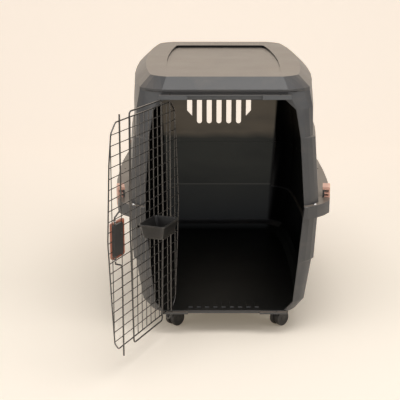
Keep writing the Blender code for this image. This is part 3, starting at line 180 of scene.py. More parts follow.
class Finish:
    """A material with a Principled shader, and short names for the nodes that vary it."""

    def __init__(self, name, color, roughness, **sockets):
        self.material = bpy.data.materials.new(name)
        self.material.use_nodes = True
        self.tree = self.material.node_tree
        self.shader = self.tree.nodes["Principled BSDF"]
        self.material.diffuse_color = (*color, 1.0)
        self.set("Base Color", (*color, 1.0))
        self.set("Roughness", roughness)
        for socket, value in sockets.items():
            self.set(socket.replace("_", " "), value)

    def set(self, socket, value):
        target = self.shader.inputs[socket]
        if isinstance(value, Value):
            self.tree.links.new(value.socket, target)
        else:
            target.default_value = value

    def add(self, kind, settings, inputs, output=0):
        node = self.tree.nodes.new(kind)
        for name, value in settings.items():
            setattr(node, name, value)
        for name, value in inputs.items():
            if isinstance(value, Value):
                self.tree.links.new(value.socket, node.inputs[name])
            else:
                node.inputs[name].default_value = value
        return Value(self, node.outputs[output])

    def place(self):
        """Where a point is on the object, in metres."""
        return self.add("ShaderNodeTexCoord", {}, {}, "Object")

    def facing(self):
        """The direction that the surface looks in."""
        return self.add("ShaderNodeNewGeometry", {}, {}, "Normal")

    def part_of(self, vector, axis):
        return self.add("ShaderNodeSeparateXYZ", {}, {0: vector}, "XYZ".index(axis))

    def stretched(self, scale):
        """The object's own coordinates, scaled along X, Y and Z."""
        return self.add("ShaderNodeMapping", {}, {"Vector": self.place(), "Scale": scale})

    def noise(self, scale, detail, rough, vector=None):
        inputs = {"Vector": vector or self.place(), "Scale": scale, "Detail": detail, "Roughness": rough}
        return self.add("ShaderNodeTexNoise", {}, inputs, 0)

    def corners(self, low, high):
        """1 on the outside corners of a mesh, for rubbed wear and a painted edge highlight there.

        It is measured at the mesh's points only, so on a large face it spreads as a wide, soft pale patch.
        """
        return self.add("ShaderNodeNewGeometry", {}, {}, "Pointiness").ramp(low, high)

    def mix_color(self, factor, first, second):
        """A colour between two colours."""
        inputs = {0: factor, 6: as_color(first), 7: as_color(second)}
        return self.add("ShaderNodeMix", {"data_type": "RGBA"}, inputs, 2)

    def bump(self, height):
        inputs = {"Strength": 1.0, "Distance": BUMP_DISTANCE, "Height": height}
        self.set("Normal", self.add("ShaderNodeBump", {}, inputs))


def as_color(value):
    return value if isinstance(value, Value) else (*value, 1.0)


print(f"finishes can be made; a bump height of 1 means {BUMP_DISTANCE * 1000:.0f} mm")

# %% [markdown]
# ## Moulded plastic
# The shells are dark grey polypropylene with a fine spark-eroded grain. Up close it is rough; from a step
# away it only blurs the reflections. Three things make it read as a big moulding and not as paint: broad,
# faint waves where the wall shrank while it cooled, slow changes in how dull it is, and paler corners,
# partly rubbed wear and partly a painted edge highlight. The corners are read at the mesh's points and
# would spread over a wide wall as a pale patch, so the shells take only a trace of them. Faces that look
# straight up, such as the roof, are paler with a film of dust and a painted sheen, which thins out down
# the roof's sloping flanks. The front of the head lip carries a painted highlight.

# %% The shells' finish
SHELL_COLOR = (0.056, 0.057, 0.059)
SHELL_PALE = (0.215, 0.178, 0.143)
LIP_HIGHLIGHT = (0.125, 0.132, 0.138)
LIP_MARGIN = 0.0005
GRAIN, SATIN_GRAIN = 0.12, 0.1


def lit_lip(finish):
    """1 on the front of the head lip, where a painted highlight lightens it."""
    where = finish.place()
    ahead = 1 - finish.part_of(where, "Y").ramp(FRONT_Y - 0.002, FRONT_Y + 0.002)
    low, high = HEAD_LIP_Z + LIP_MARGIN, HEAD_LIP_TOP_Z - LIP_MARGIN
    return ahead * finish.part_of(where, "Z").between(low, high, LIP_MARGIN * 2)


def dust_and_top_sheen(finish):
    """1 on faces that look straight up, and nearly half on the roof's sloping flanks."""
    facing = finish.facing()
    up = finish.part_of(facing, "Z")
    flank = finish.part_of(facing, "X").size().ramp(0.45, 0.65) * up.ramp(0.40, 0.60)
    return (up.ramp(0.80, 0.98) + flank * 0.45).clamped()


def moulded(name, color, pale, roughness, edge_wear_and_light=0.5, dust_sheen_and_lip_light=0.0):
    """Grained plastic. Weights for its paled corners (wear, painted edge light) and its dust, painted sheen and
    lip light.
    """
    finish = Finish(name, color, roughness, IOR=1.55)
    cloud = finish.noise(7.0, 4.0, 0.6)
    streak = finish.noise(16.0, 5.0, 0.62, finish.stretched((1.0, 0.25, 2.2)))
    dust = (streak * cloud).ramp(0.24, 0.52)
    # Paler corners: rubbed wear and a painted edge highlight.
    rubbed_and_lit = finish.corners(0.52, 0.60) * edge_wear_and_light
    paled = rubbed_and_lit + dust * 0.22
    # Faces that look up: a dust film and a painted sheen.
    if dust_sheen_and_lip_light:
        paled = paled + dust_and_top_sheen(finish) * dust_sheen_and_lip_light
    surface = finish.mix_color(paled.clamped(), color, pale)
    # The front of the head lip: a painted highlight.
    if dust_sheen_and_lip_light:
        surface = finish.mix_color(lit_lip(finish) * dust_sheen_and_lip_light, surface, LIP_HIGHLIGHT)
    finish.set("Base Color", surface)
    finish.set("Roughness", (cloud * 0.16 + (roughness - 0.08) + rubbed_and_lit * 0.12).clamped())
    waves = finish.noise(5.0, 1.0, 0.4)
    finish.bump(finish.noise(900.0, 2.0, 0.6) * GRAIN + waves * 1.3)
    return finish


shell_plastic = moulded("shell_outside", SHELL_COLOR, SHELL_PALE, 0.38, edge_wear_and_light=0.1, dust_sheen_and_lip_light=0.75)
bowl_plastic = moulded("bowl_plastic", (0.017, 0.016, 0.015), (0.14, 0.125, 0.10), 0.30)
caster_plastic = moulded("caster_plastic", (0.030, 0.028, 0.026), (0.09, 0.08, 0.07), 0.42)
plate_plastic = moulded("latch_plate_plastic", (0.020, 0.019, 0.019), (0.06, 0.055, 0.05), 0.38)
made = (shell_plastic, bowl_plastic, caster_plastic, plate_plastic)
print("moulded finishes:", [finish.material.name for finish in made])

# %% [markdown]
# ## The inside of the shells
# Inside, the same plastic is smoother and sees almost no light; its colour there is a painted shade, near
# black and a little lighter on the floor. The light that comes through the thin rear wall is painted as a
# faint emission, stronger towards the top, and above a wavy line just over the rim a painted olive-brown
# colour and glow. Painted reflection patches streak the rear wall, and a thin painted highlight runs along
# its step. The side walls keep the black painted shade, so the glow also ends at the rear wall's own
# corners, which lean outward as they rise. The front ends of the floor's nine ribs carry a pale painted
# highlight.

# %% The inside finish
# Painted shade inside, a painted olive on the lit rear wall, painted glows and a painted rib highlight.
INSIDE_SHADE, INSIDE_LIT_OLIVE = (0.0022, 0.0023, 0.0022), (0.034, 0.028, 0.021)
FLOOR_SHADE = (0.0046, 0.0051, 0.0048)
NO_GLOW, REAR_GLOW, MIDDLE_GLOW = (0.0, 0.0, 0.0), (0.0052, 0.0056, 0.0058), (0.0175, 0.0175, 0.0150)
STEP_GLOW, UPPER_GLOW = (0.030, 0.029, 0.026), (0.060, 0.0485, 0.0355)
RIB_HIGHLIGHT = (0.42, 0.40, 0.37)
REAR_FROM, REAR_TO = 0.90, 0.95
REAR_HALF_WIDTH, REAR_LEAN, REAR_CORNER = 0.190, 0.065, 0.004
UPPER_FROM, UPPER_TO = 0.436, 0.462
MIDDLE_FROM, MIDDLE_TO = 0.110, 0.340
STEP_LOW_Z, STEP_TOP_Z = 0.2440, 0.2465
FLOOR_FROM_Z, FLOOR_TO_Z = 0.083, 0.095
RIB_FRONT_LOW_Z, RIB_FRONT_TOP_Z = 0.0803, 0.0827


def rear_wall(finish, where, height):
    """1 on the rear wall, between its two corners."""
    deep = finish.part_of(where, "Y").ramp(FRONT_Y + REAR_FROM, FRONT_Y + REAR_TO)
    beside = finish.part_of(where, "X").size() - height * REAR_LEAN
    return deep * (1 - beside.ramp(REAR_HALF_WIDTH - REAR_CORNER, REAR_HALF_WIDTH + REAR_CORNER))


def inside_of_shells():
    # Base colour: a near-black painted shade for the same plastic.
    finish = Finish("shell_inside", INSIDE_SHADE, 0.42, IOR=1.42, Emission_Strength=1.0)
    where = finish.place()
    height = finish.part_of(where, "Z")
    rear = rear_wall(finish, where, height)
    wavy = height + (finish.noise(6.0, 2.0, 0.5) - 0.5) * 0.05
    # Above a wavy line the rear wall takes a painted olive colour and glow; lower down, a fainter painted glow.
    upper = rear * wavy.ramp(UPPER_FROM, UPPER_TO)
    middle = rear * wavy.ramp(MIDDLE_FROM, MIDDLE_TO)
    # A thin painted highlight along the rear wall's step.
    step = rear * height.between(STEP_LOW_Z, STEP_TOP_Z, 0.0015)
    # Stretched streaks: painted reflection patches, which also vary the roughness.
    streaks = finish.noise(5.0, 4.0, 0.6, finish.stretched((1.0, 1.0, 3.2)))
    reflection_patches = streaks.ramp(0.30, 0.70) * 0.55 + 0.62
    # The floor takes a slightly lighter painted shade.
    low = 1 - height.ramp(FLOOR_FROM_Z, FLOOR_TO_Z)
    # The rib fronts that face forward carry a pale painted highlight.
    ahead = 1 - finish.part_of(finish.facing(), "Y").ramp(-0.9, -0.5)
    rib_fronts = ahead * height.between(RIB_FRONT_LOW_Z, RIB_FRONT_TOP_Z, 0.0003)
    walls = finish.mix_color(low, finish.mix_color(upper, INSIDE_SHADE, INSIDE_LIT_OLIVE), FLOOR_SHADE)
    finish.set("Base Color", finish.mix_color(rib_fronts * reflection_patches, walls, RIB_HIGHLIGHT))
    # Painted glow on the rear wall, where no lamp is.
    glow = finish.mix_color(rear, NO_GLOW, REAR_GLOW)
    glow = finish.mix_color(middle * reflection_patches, glow, MIDDLE_GLOW)
    glow = finish.mix_color(step, glow, STEP_GLOW)
    finish.set("Emission Color", finish.mix_color(upper * reflection_patches, glow, UPPER_GLOW))
    finish.set("Roughness", (streaks * 0.2 + 0.30).clamped())
    finish.bump(finish.noise(700.0, 2.0, 0.6) * 0.1 + finish.noise(6.0, 1.0, 0.4) * 1.6)
    return finish


inside_plastic = inside_of_shells()
print("inside finish:", inside_plastic.material.name)

# %% [markdown]
# ## Terracotta plastic, coated wire, zinc and tyre
# The latch and the clips are a smooth terracotta plastic. The wire is steel with a thin dark coat: each
# round wire is a mirror drawn out to a line, so it shows a thin pale streak even against the dark cabin.
# The bolt heads are zinc-plated, the latch's screws blackened, and the wheels a hard dull tyre plastic.

# %% The other finishes
def satin(name, color, pale, roughness, metallic=0.0, coat=0.0):
    finish = Finish(name, color, roughness, Metallic=metallic, Coat_Weight=coat)
    cloud = finish.noise(60.0, 3.0, 0.6)
    # Paler corners: rubbed wear and a painted edge highlight; the cloud is tone that varies at random.
    paled = (finish.corners(0.51, 0.58) * 0.6 + cloud.ramp(0.5, 0.8) * 0.25).clamped()
    finish.set("Base Color", finish.mix_color(paled, color, pale))
    finish.set("Roughness", (cloud * 0.14 + (roughness - 0.07)).clamped())
    finish.bump(finish.noise(1500.0, 2.0, 0.5) * SATIN_GRAIN)
    return finish


terracotta = satin("latch_terracotta", (0.38, 0.088, 0.040), (0.54, 0.22, 0.14), 0.38)
clip_terracotta = satin("clip_plastic", (0.82, 0.42, 0.30), (0.88, 0.58, 0.47), 0.42)
coated_wire = satin("dark_coated_wire", (0.026, 0.024, 0.022), (0.10, 0.09, 0.08), 0.24,
                    metallic=0.35, coat=0.8)
blackened = satin("blackened_screw", (0.045, 0.042, 0.040), (0.12, 0.11, 0.10), 0.40, metallic=0.6)
zinc = satin("zinc_plate", (0.66, 0.65, 0.63), (0.80, 0.79, 0.77), 0.26, metallic=1.0)
tyre = satin("wheel_plastic", (0.034, 0.031, 0.028), (0.085, 0.076, 0.066), 0.48)
made = (terracotta, clip_terracotta, coated_wire, blackened, zinc, tyre)
print("satin finishes:", [finish.material.name for finish in made])

# %% [markdown]
# ## Rounding the edges of a solid
# No moulding has a knife edge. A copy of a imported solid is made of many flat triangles, so first the ones
# that lie in one plane are joined into one face. Then every edge sharper than a limit is given a bevel
# weight, and a Bevel modifier rounds the weighted edges. A Weighted Normal modifier then lets the largest
# faces lead the shading, so that the narrow ones between them carry the bend.

# %% A rounded copy of a node
SAME_POINT = 0.00002
FLAT_WITHIN_DEG = 0.6
BEVEL_SEGMENTS = 2


def linked(obj):
    bpy.context.scene.collection.objects.link(obj)
    return obj


def body_of(node):
    for body, members in frame["record"]["behaviour"]["bodies"].items():
        if node in members:
            return body
    raise ValueError(node)


def slot_of(node):
    for entry in frame["record"]["subparts"]:
        if entry["node"] == node:
            return entry["material_slot"]
    raise ValueError(node)


def shown_for(piece, node):
    """The piece rides where the node does and is shown in its place; the node's slot is looked up but not given.
    """
    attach(piece, body_of(node))
    slot_of(node)
    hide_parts(node)
    return piece


def joined_and_weighted(mesh, sharper_than, left_sharp):
    """Join the triangles of each plane, then weight the sharp edges for the bevel."""
    work = bmesh.new()
    work.from_mesh(mesh)
    bmesh.ops.remove_doubles(work, verts=work.verts, dist=SAME_POINT)
    free = [v for v in work.verts if not (left_sharp and left_sharp(v.co))]
    loose = set(free)
    edges = [e for e in work.edges if e.verts[0] in loose and e.verts[1] in loose]
    bmesh.ops.dissolve_limit(work, angle_limit=math.radians(FLAT_WITHIN_DEG), verts=free, edges=edges)
    weight = work.edges.layers.float.new("bevel_weight_edge")
    limit = math.radians(sharper_than)
    for edge in work.edges:
        kept = left_sharp and any(left_sharp(v.co) for v in edge.verts)
        if len(edge.link_faces) == 2 and edge.calc_face_angle(0.0) > limit and not kept:
            edge[weight] = 1.0
    work.to_mesh(mesh)
    work.free()


def rounded(node, finishes, width, sharper_than=24.0, crease=30.0, left_sharp=None):
    """A copy of a node with its edges sharper than an angle rounded, and shaded as creases past another.

    left_sharp(point) is true where edges stay as packed.
    """
    mesh = nodes[node].data.copy()
    joined_and_weighted(mesh, sharper_than, left_sharp)
    mesh.materials.clear()
    for finish in finishes:
        mesh.materials.append(finish.material)
    for face in mesh.polygons:
        face.use_smooth = True
        face.material_index = 0
    mesh.set_sharp_from_angle(angle=math.radians(crease))
    piece = linked(bpy.data.objects.new(f"{node}_rounded", mesh))
    bevel = piece.modifiers.new("rounded edges", "BEVEL")
    bevel.width = width
    bevel.segments = BEVEL_SEGMENTS
    bevel.limit_method = "WEIGHT"
    bevel.use_clamp_overlap = True
    bevel.harden_normals = True
    bevel.miter_outer = "MITER_ARC"
    weighted = piece.modifiers.new("large faces lead the shading", "WEIGHTED_NORMAL")
    weighted.keep_sharp = True
    return shown_for(piece, node)


print(f"rounding joins faces within {FLAT_WITHIN_DEG} degrees and bevels in {BEVEL_SEGMENTS} steps")

# %% [markdown]
# ## The two shells
# The hood and the tub are the largest pieces. Their outside faces take the grained finish and their
# inside faces the darker one, so each face is asked which way it looks: a wall that faces the cabin's
# middle is inside. The rear wall, with its close row of vents, is left as packed: joining faces round so
# many holes tears them. Every bend over fifteen degrees stays a crisp facet, while the gentle bow of the
# sides is shaded as one curve.

# %% Shells with an inside and an outside
CABIN_MIDDLE = Vector((0.0, FRONT_Y + 0.50, 0.42))
SHELL_BEND_DEG = 15.0
SHELL_ROUNDING = 0.0016
FRONT_EDGE = 0.0045
REAR_WALL_FROM = 0.94
CEILING_FROM_Z, FLOOR_UP_TO_Z = 0.78, 0.095
LEVEL_NORMAL = 0.75


def faces_the_cabin(face):
    if face.center.y < FRONT_Y + FRONT_EDGE:
        return False
    if abs(face.normal.z) > LEVEL_NORMAL:
        toward = (CABIN_MIDDLE.z - face.center.z) * face.normal.z
        level = face.center.z > CEILING_FROM_Z or face.center.z < FLOOR_UP_TO_Z
        return toward > 0 and level
    flat = Vector((face.normal.x, face.normal.y))
    to_middle = Vector((CABIN_MIDDLE.x - face.center.x, CABIN_MIDDLE.y - face.center.y))
    return flat.dot(to_middle) > 0


def at_the_vents(point):
    return point.y > FRONT_Y + REAR_WALL_FROM


for node in ("upper_shell", "lower_shell"):
    shell = rounded(node, (shell_plastic, inside_plastic), SHELL_ROUNDING, sharper_than=SHELL_BEND_DEG,
                    crease=SHELL_BEND_DEG, left_sharp=at_the_vents)
    # Inside faces take the finish with painted shade and painted glow.
    inner = [face for face in shell.data.polygons if faces_the_cabin(face)]
    for face in inner:
        face.material_index = 1
    print(f"{shell.name}: {len(shell.data.polygons)} faces, {len(inner)} of them inside")

# %% [markdown]
# ## The door's own frame of reference
# The door is easiest to draw as if it were shut and flat: x runs from the hinge rod to the latch side, y
# into the cabin and z up. One matrix, taken from the hinge joint, then swings it open to where the photo
# shows it.

# %% From door space to the room
hinge = joints["door_hinge"]
HINGE_POINT = Vector((hinge["pos_m"][0], hinge["pos_m"][1], 0.0))
OPEN_ANGLE = math.radians(hinge["range_deg"][1])
DOOR_SPACE = Matrix.Translation(HINGE_POINT) @ Matrix.Rotation(-OPEN_ANGLE, 4, "Z")
print(f"door stands open by {math.degrees(OPEN_ANGLE):.1f} degrees")

# %% [markdown]
# ## Bent wire
# A wire bender leaves an arc at every corner. Each route is a list of corner points; `softened` swaps
# each corner for a short arc, and a curve with a round bevel sweeps the wire along it.

# %% Routes with bent corners
ARC_STEPS, LARGEST_SHARE = 4, 0.45


def softened(route, radius, closed=False):
    """The route with each corner swapped for an arc. radius is one length, or one for each point.

    An arc takes up LARGEST_SHARE of the stretch before or after it at most.
    """
    radii = radius if isinstance(radius, (list, tuple)) else [radius] * len(route)
    points = [Vector(p) for p in route]
    count = len(points)
    out = []
    for i, here in enumerate(points):
        if not closed and i in (0, count - 1):
            out.append(here)
            continue
        before, after = points[i - 1], points[(i + 1) % count]
        back, ahead = before - here, after - here
        reach = min(radii[i], back.length * LARGEST_SHARE, ahead.length * LARGEST_SHARE)
        first = here + back.normalized() * reach
        last = here + ahead.normalized() * reach
        for k in range(ARC_STEPS + 1):
            t = k / ARC_STEPS
            out.append(first * (1 - t) ** 2 + here * (2 * t * (1 - t)) + last * t * t)
    return out


def wire_piece(name, routes, radius, finish, closed=False, sides=3):
    """One curve object with a round wire along each route, given in door space."""
    curve = bpy.data.curves.new(name, "CURVE")
    curve.dimensions = "3D"
    curve.bevel_depth = radius
    curve.bevel_resolution = sides
    curve.use_fill_caps = True
    for route in routes:
        spline = curve.splines.new("POLY")
        spline.points.add(len(route) - 1)
        for i, point in enumerate(route):
            spline.points[i].co = (*(DOOR_SPACE @ Vector(point)), 1.0)
        spline.use_cyclic_u = closed
        spline.use_smooth = True
    curve.materials.append(finish.material)
    return linked(bpy.data.objects.new(name, curve))


print(f"bent corners are drawn in {ARC_STEPS} steps")

# %% [markdown]
# ## The door's frame
# The door is a welded mesh inside a frame of heavier wire, bent to the shape of the opening. The frame's
# corners could be typed one by one. They are worked out instead, by moving the opening's outline 7 mm
# inward, so that the gap is the same all round.

# %% The frame's shape
FRAME_CLEARANCE = 0.007
POST_HALF_WIDTHS = (
    (0.0800, 0.1927), (0.1075, 0.2180), (0.2385, 0.2313), (0.4137, 0.2468),
    (0.4240, 0.2468), (0.6360, 0.2310), (0.7245, 0.2156), (0.7545, 0.1830),
)


def frame_corners():
    """The opening's outline, moved inward by the clearance, as (x, z) points."""
    right = [Vector((half, z)) for z, half in POST_HALF_WIDTHS]
    outline = right + [Vector((-p.x, p.y)) for p in right[::-1]]
    moved = []
    for i, here in enumerate(outline):
        before = (here - outline[i - 1]).normalized()
        after = (outline[(i + 1) % len(outline)] - here).normalized()
        first, second = Vector((-before.y, before.x)), Vector((-after.y, after.x))
        moved.append(here + (first + second) * (FRAME_CLEARANCE / (1 + first.dot(second))))
    return [(HINGE_HALF_SPAN + p.x, p.y) for p in moved]


FRAME = frame_corners()
print("frame of the door:", [(round(x, 4), round(z, 4)) for x, z in FRAME[:8]])

# %% [markdown]
# ## The door mesh
# Twenty-one wires run across, 30 mm apart, and eleven stand upright, welded where they cross. The mesh
# lies on the outer side of the heavier bars. A flat sheet with holes in it would vanish when seen from
# the side, so each wire is drawn round, and its length ends where its line meets the frame.

# %% Draw the door mesh
WIRE_PITCH = 0.030
UPRIGHT_STEPS = (0.0, 0.030, 0.060, 0.090, 0.155, 0.212)
FRAME_Y, CROSS_Y, UPRIGHT_Y = -0.0053, -0.00415, -0.00565
FRAME_BEND = 0.007
WIRE_RADIUS, FRAME_RADIUS = 0.00135, 0.0021


def crossings(value, axis):
    """Where a level (axis 1) or upright (axis 0) line meets the frame."""
    found = []
    for here, after in zip(FRAME, FRAME[1:] + FRAME[:1]):
        low, high = sorted((here[axis], after[axis]))
        if low < value <= high:
            share = (value - here[axis]) / (after[axis] - here[axis])
            found.append(here[1 - axis] + share * (after[1 - axis] - here[1 - axis]))
    return min(found), max(found)


def wire_routes():
    """The cross wires from the bottom up, then the uprights."""
    routes = []
    top = max(z for _, z in FRAME)
    z = SILL_Z + FRAME_CLEARANCE + WIRE_PITCH
    while z < top - WIRE_PITCH / 2:
        low, high = crossings(z, 1)
        routes.append([(low, CROSS_Y, z), (high, CROSS_Y, z)])
        z += WIRE_PITCH
    for step in UPRIGHT_STEPS:
        for x in sorted({HINGE_HALF_SPAN - step, HINGE_HALF_SPAN + step}):
            low, high = crossings(x, 0)
            routes.append([(x, UPRIGHT_Y, low), (x, UPRIGHT_Y, high)])
    return routes


door_routes = wire_routes()
frame_route = softened([(x, FRAME_Y, z) for x, z in FRAME], FRAME_BEND, closed=True)
shown_for(wire_piece("door_wires", door_routes, WIRE_RADIUS, coated_wire), "door_mesh")
shown_for(wire_piece("door_frame_wire", [frame_route], FRAME_RADIUS, coated_wire, closed=True), "door_mesh")
print(f"door mesh: {len(door_routes)} wires and a frame")

# %% [markdown]
# ## Loop, hinge rod and latch bars
# A heavier bar stiffens the door. It is bent to one flat, tall loop, a little wider at its waist, whose
# ends stop against the lips. The rod that the door hangs on runs through bores in both lips and ends in a
# bent tail. The two latch bars start in the latch's inner plate, jog sideways above and below it and
# reach to the lips. The first bend is almost sharp: with the grip pulled it stops just short of the
# plate.

# %% Draw the heavier bars
LOOP_OUTLINE = ((0.0725, 0.0995), (LEDGE_Z, 0.112), (0.7655, 0.106))
LOOP_BEND, ROD_BEND = 0.012, 0.006
ROD_ABOVE_LIP, ROD_BELOW_LIP = 0.0045, 0.0023
ROD_TAIL = ((0.006, -0.007, -0.0115), (0.010, -0.012, -0.003))
LATCH_X, LATCH_FAR_X, LATCH_Z = 0.334, 0.374, 0.417
BAR_END, COLLAR_FACE, COLLAR_THICK = 0.02445, 0.05635, 0.002
JOG_BEYOND_COLLAR, JOG_HEIGHT = 0.009, 0.016
TIP_BELOW_TOP, TIP_BELOW_SILL = 0.003, 0.012
LATCH_BAR_BENDS = (0.0, 0.0012, 0.012, 0.0)


def loop_route():
    """One flat closed route: up the loop's free side and down its hinge side."""
    right = [(half, 0.0, z) for z, half in LOOP_OUTLINE]
    both = right + [(-x, y, z) for x, y, z in right[::-1]]
    return [(HINGE_HALF_SPAN + x, y, z) for x, y, z in both]


def rod_route():
    """From above the head lip to below the sill lip, then the bent tail."""
    low = SILL_LIP_Z - BAR_RADIUS - ROD_BELOW_LIP
    straight = [(0.0, 0.0, HEAD_LIP_TOP_Z + ROD_ABOVE_LIP), (0.0, 0.0, low)]
    return straight + [(x, y, low + z) for x, y, z in ROD_TAIL]


def latch_bar_route(sign):
    """From inside the latch out to a lip. sign is 1 for the upper bar and -1 for the lower one."""
    tip = HEAD_LIP_TOP_Z - TIP_BELOW_TOP if sign > 0 else SILL_LIP_Z - TIP_BELOW_SILL
    jog = LATCH_Z + sign * (COLLAR_FACE + COLLAR_THICK + JOG_BEYOND_COLLAR)
    return [
        (LATCH_FAR_X, 0.0, LATCH_Z + sign * BAR_END),
        (LATCH_FAR_X, 0.0, jog),
        (LATCH_X, 0.0, jog + sign * JOG_HEIGHT),
        (LATCH_X, 0.0, tip),
    ]


loop = softened(loop_route(), LOOP_BEND, closed=True)
shown_for(wire_piece("door_loop_bar", [loop], BAR_RADIUS, coated_wire, closed=True), "door_loop")
rod = softened(rod_route(), ROD_BEND)
shown_for(wire_piece("hinge_rod_bar", [rod], BAR_RADIUS, coated_wire), "hinge_rod")
for name, sign in (("upper", 1), ("lower", -1)):
    bar = softened(latch_bar_route(sign), LATCH_BAR_BENDS)
    shown_for(wire_piece(f"latch_bar_{name}_drawn", [bar], BAR_RADIUS, coated_wire), f"latch_bar_{name}")
print("drawn: loop, hinge rod and two latch bars")

# %% [markdown]
# ## Turned pieces
# Bolt heads, collars and wheels are all round about an axis, so each is one half-outline swept round it.
# The outline is given as radius and height, bottom to top, and a matrix sets it on its axis.

# %% Turn an outline about an axis
TURNED_CREASE_DEG = 40


def turned(name, outline, finish, space, steps):
    """A solid of revolution about the space's Z. A point on the axis becomes one point, not a ring."""
    work = bmesh.new()
    rings = []
    for radius, z in outline:
        if radius < 1e-6:
            rings.append([work.verts.new((0, 0, z))])
            continue
        ring = []
        for i in range(steps):
            angle = 2 * math.pi * i / steps
            ring.append(work.verts.new((radius * math.cos(angle), radius * math.sin(angle), z)))
        rings.append(ring)
    for low, high in zip(rings, rings[1:]):
        for i in range(steps):
            j = (i + 1) % steps
            around = [low[i % len(low)], low[j % len(low)], high[j % len(high)], high[i % len(high)]]
            work.faces.new(list(dict.fromkeys(around))).smooth = True
    bmesh.ops.recalc_face_normals(work, faces=work.faces)
    mesh = bpy.data.meshes.new(name)
    work.to_mesh(mesh)
    work.free()
    mesh.transform(space)
    mesh.set_sharp_from_angle(angle=math.radians(TURNED_CREASE_DEG))
    mesh.materials.append(finish.material)
    return linked(bpy.data.objects.new(name, mesh))


print(f"turned pieces are smooth up to a bend of {TURNED_CREASE_DEG} degrees")

# %% [markdown]
# ## Bolts and collars
# Each rim bolt has a low domed head with a round dimple; it is one of the few bright specks in the photo.
# The collar on each latch bar is what its spring pushes against.

# %% Set the bolts and collars
BOLT_END_Z, BOLT_SEAT_Z = 0.4062, LEDGE_Z + FIT_GAP
BOLT_STEPS = 24
BOLT_OUTLINE = [
    (0.0, BOLT_END_Z), (0.0024, BOLT_END_Z + 0.0004), (0.0025, BOLT_SEAT_Z), (0.0058, BOLT_SEAT_Z),
    (0.0058, BOLT_SEAT_Z + 0.0008), (0.0055, BOLT_SEAT_Z + 0.0016), (0.0044, BOLT_SEAT_Z + 0.0028),
    (0.0028, BOLT_SEAT_Z + 0.0036), (0.0013, BOLT_SEAT_Z + 0.0038), (0.0011, BOLT_SEAT_Z + 0.0022),
    (0.0, BOLT_SEAT_Z + 0.0020),
]
COLLAR_BORE, COLLAR_EASED, COLLAR_RADIUS, COLLAR_BEVEL = 0.0026, 0.0039, 0.0042, 0.0004


def collar_outline(low, high):
    return [
        (COLLAR_BORE, low), (COLLAR_EASED, low), (COLLAR_RADIUS, low + COLLAR_BEVEL),
        (COLLAR_RADIUS, high - COLLAR_BEVEL), (COLLAR_EASED, high), (COLLAR_BORE, high),
    ]


for i in range(1, 5):
    low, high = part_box(f"rim_bolt_{i}")
    spot = (low + high) / 2
    space = Matrix.Translation((spot.x, spot.y, 0.0))
    shown_for(turned(f"rim_bolt_{i}_domed", BOLT_OUTLINE, zinc, space, BOLT_STEPS), f"rim_bolt_{i}")

for name, sign in (("upper", 1), ("lower", -1)):
    face = LATCH_Z + sign * COLLAR_FACE
    outline = collar_outline(*sorted((face, face + sign * COLLAR_THICK)))
    space = DOOR_SPACE @ Matrix.Translation((LATCH_FAR_X, 0.0, 0.0))
    collar = turned(f"latch_collar_{name}", outline, zinc, space, BOLT_STEPS)
    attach(collar, f"latch_bar_{name}")
print("set: 4 bolts and 2 collars")

# %% [markdown]
# ## Springs
# Each spring is one unbroken helix between its seat in the inner plate and the bar's collar. When the
# latch is pulled the collar comes down on it, so it is squashed towards its seat along Z.

# %% Wind the springs
SPRING_TURNS, SPRING_WIRE, SPRING_STEPS = 4, 0.0004, 20
SPRING_RADIUS = BAR_RADIUS + 0.0004 + SPRING_WIRE
SPRING_SEAT = 0.03305
SPRING_START = SPRING_SEAT + FIT_GAP + SPRING_WIRE
SPRING_LENGTH = COLLAR_FACE - FIT_GAP - SPRING_WIRE - SPRING_START


def spring_route(sign):
    route = []
    for i in range(SPRING_TURNS * SPRING_STEPS + 1):
        angle = 2 * math.pi * i / SPRING_STEPS
        share = i / (SPRING_TURNS * SPRING_STEPS)
        z = LATCH_Z + sign * (SPRING_START + SPRING_LENGTH * share)
        route.append((LATCH_FAR_X + SPRING_RADIUS * math.cos(angle), SPRING_RADIUS * math.sin(angle), z))
    return route


def as_mesh(curve_piece):
    """The curve object swapped for a mesh of the same name, because a squash works on mesh points."""
    name = curve_piece.name
    bpy.context.view_layer.update()
    depsgraph = bpy.context.evaluated_depsgraph_get()
    wound = bpy.data.meshes.new_from_object(curve_piece.evaluated_get(depsgraph))
    bpy.data.objects.remove(curve_piece)
    for face in wound.polygons:
        face.use_smooth = True
    return linked(bpy.data.objects.new(name, wound))


for name, sign in (("upper", 1), ("lower", -1)):
    spring = as_mesh(wire_piece(f"spring_{name}_wound", [spring_route(sign)], SPRING_WIRE, zinc, sides=2))
    shown_for(spring, f"spring_{name}")
    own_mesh(spring)
print(f"springs: {SPRING_TURNS} turns each")

# %% [markdown]
# ## Latch, bowl and clips
# The terracotta casing sits outside the mesh and the black plate inside it, drawn together by two screws.
# The grip slides in the casing's pocket. These mouldings are small, so they get a tighter rounding than
# the shells. The bowl hangs on the cross wires from inside.

# %% Round the small mouldings
SMALL_MOULDINGS = [
    ("latch_casing", terracotta, 0.0009),
    ("latch_grip", terracotta, 0.0008),
    ("latch_plate", plate_plastic, 0.0008),
    ("bowl", bowl_plastic, 0.0010),
]
SMALL_MOULDINGS += [(f"side_clip_{i}", clip_terracotta, 0.0007) for i in range(1, 5)]
SMALL_MOULDINGS += [(f"latch_screw_{name}", blackened, 0.0003) for name in ("lower", "upper")]
for node, finish, width in SMALL_MOULDINGS:
    rounded(node, (finish,), width)
print("rounded:", ", ".join(node for node, _, _ in SMALL_MOULDINGS))

# %% [markdown]
# ## Casters
# Each caster is a fendered hood on a steel stem, with a wheel on each side of its web. A wheel is a hard
# tyre round a shallow dished disc with a raised hub cap, turned about the axle.

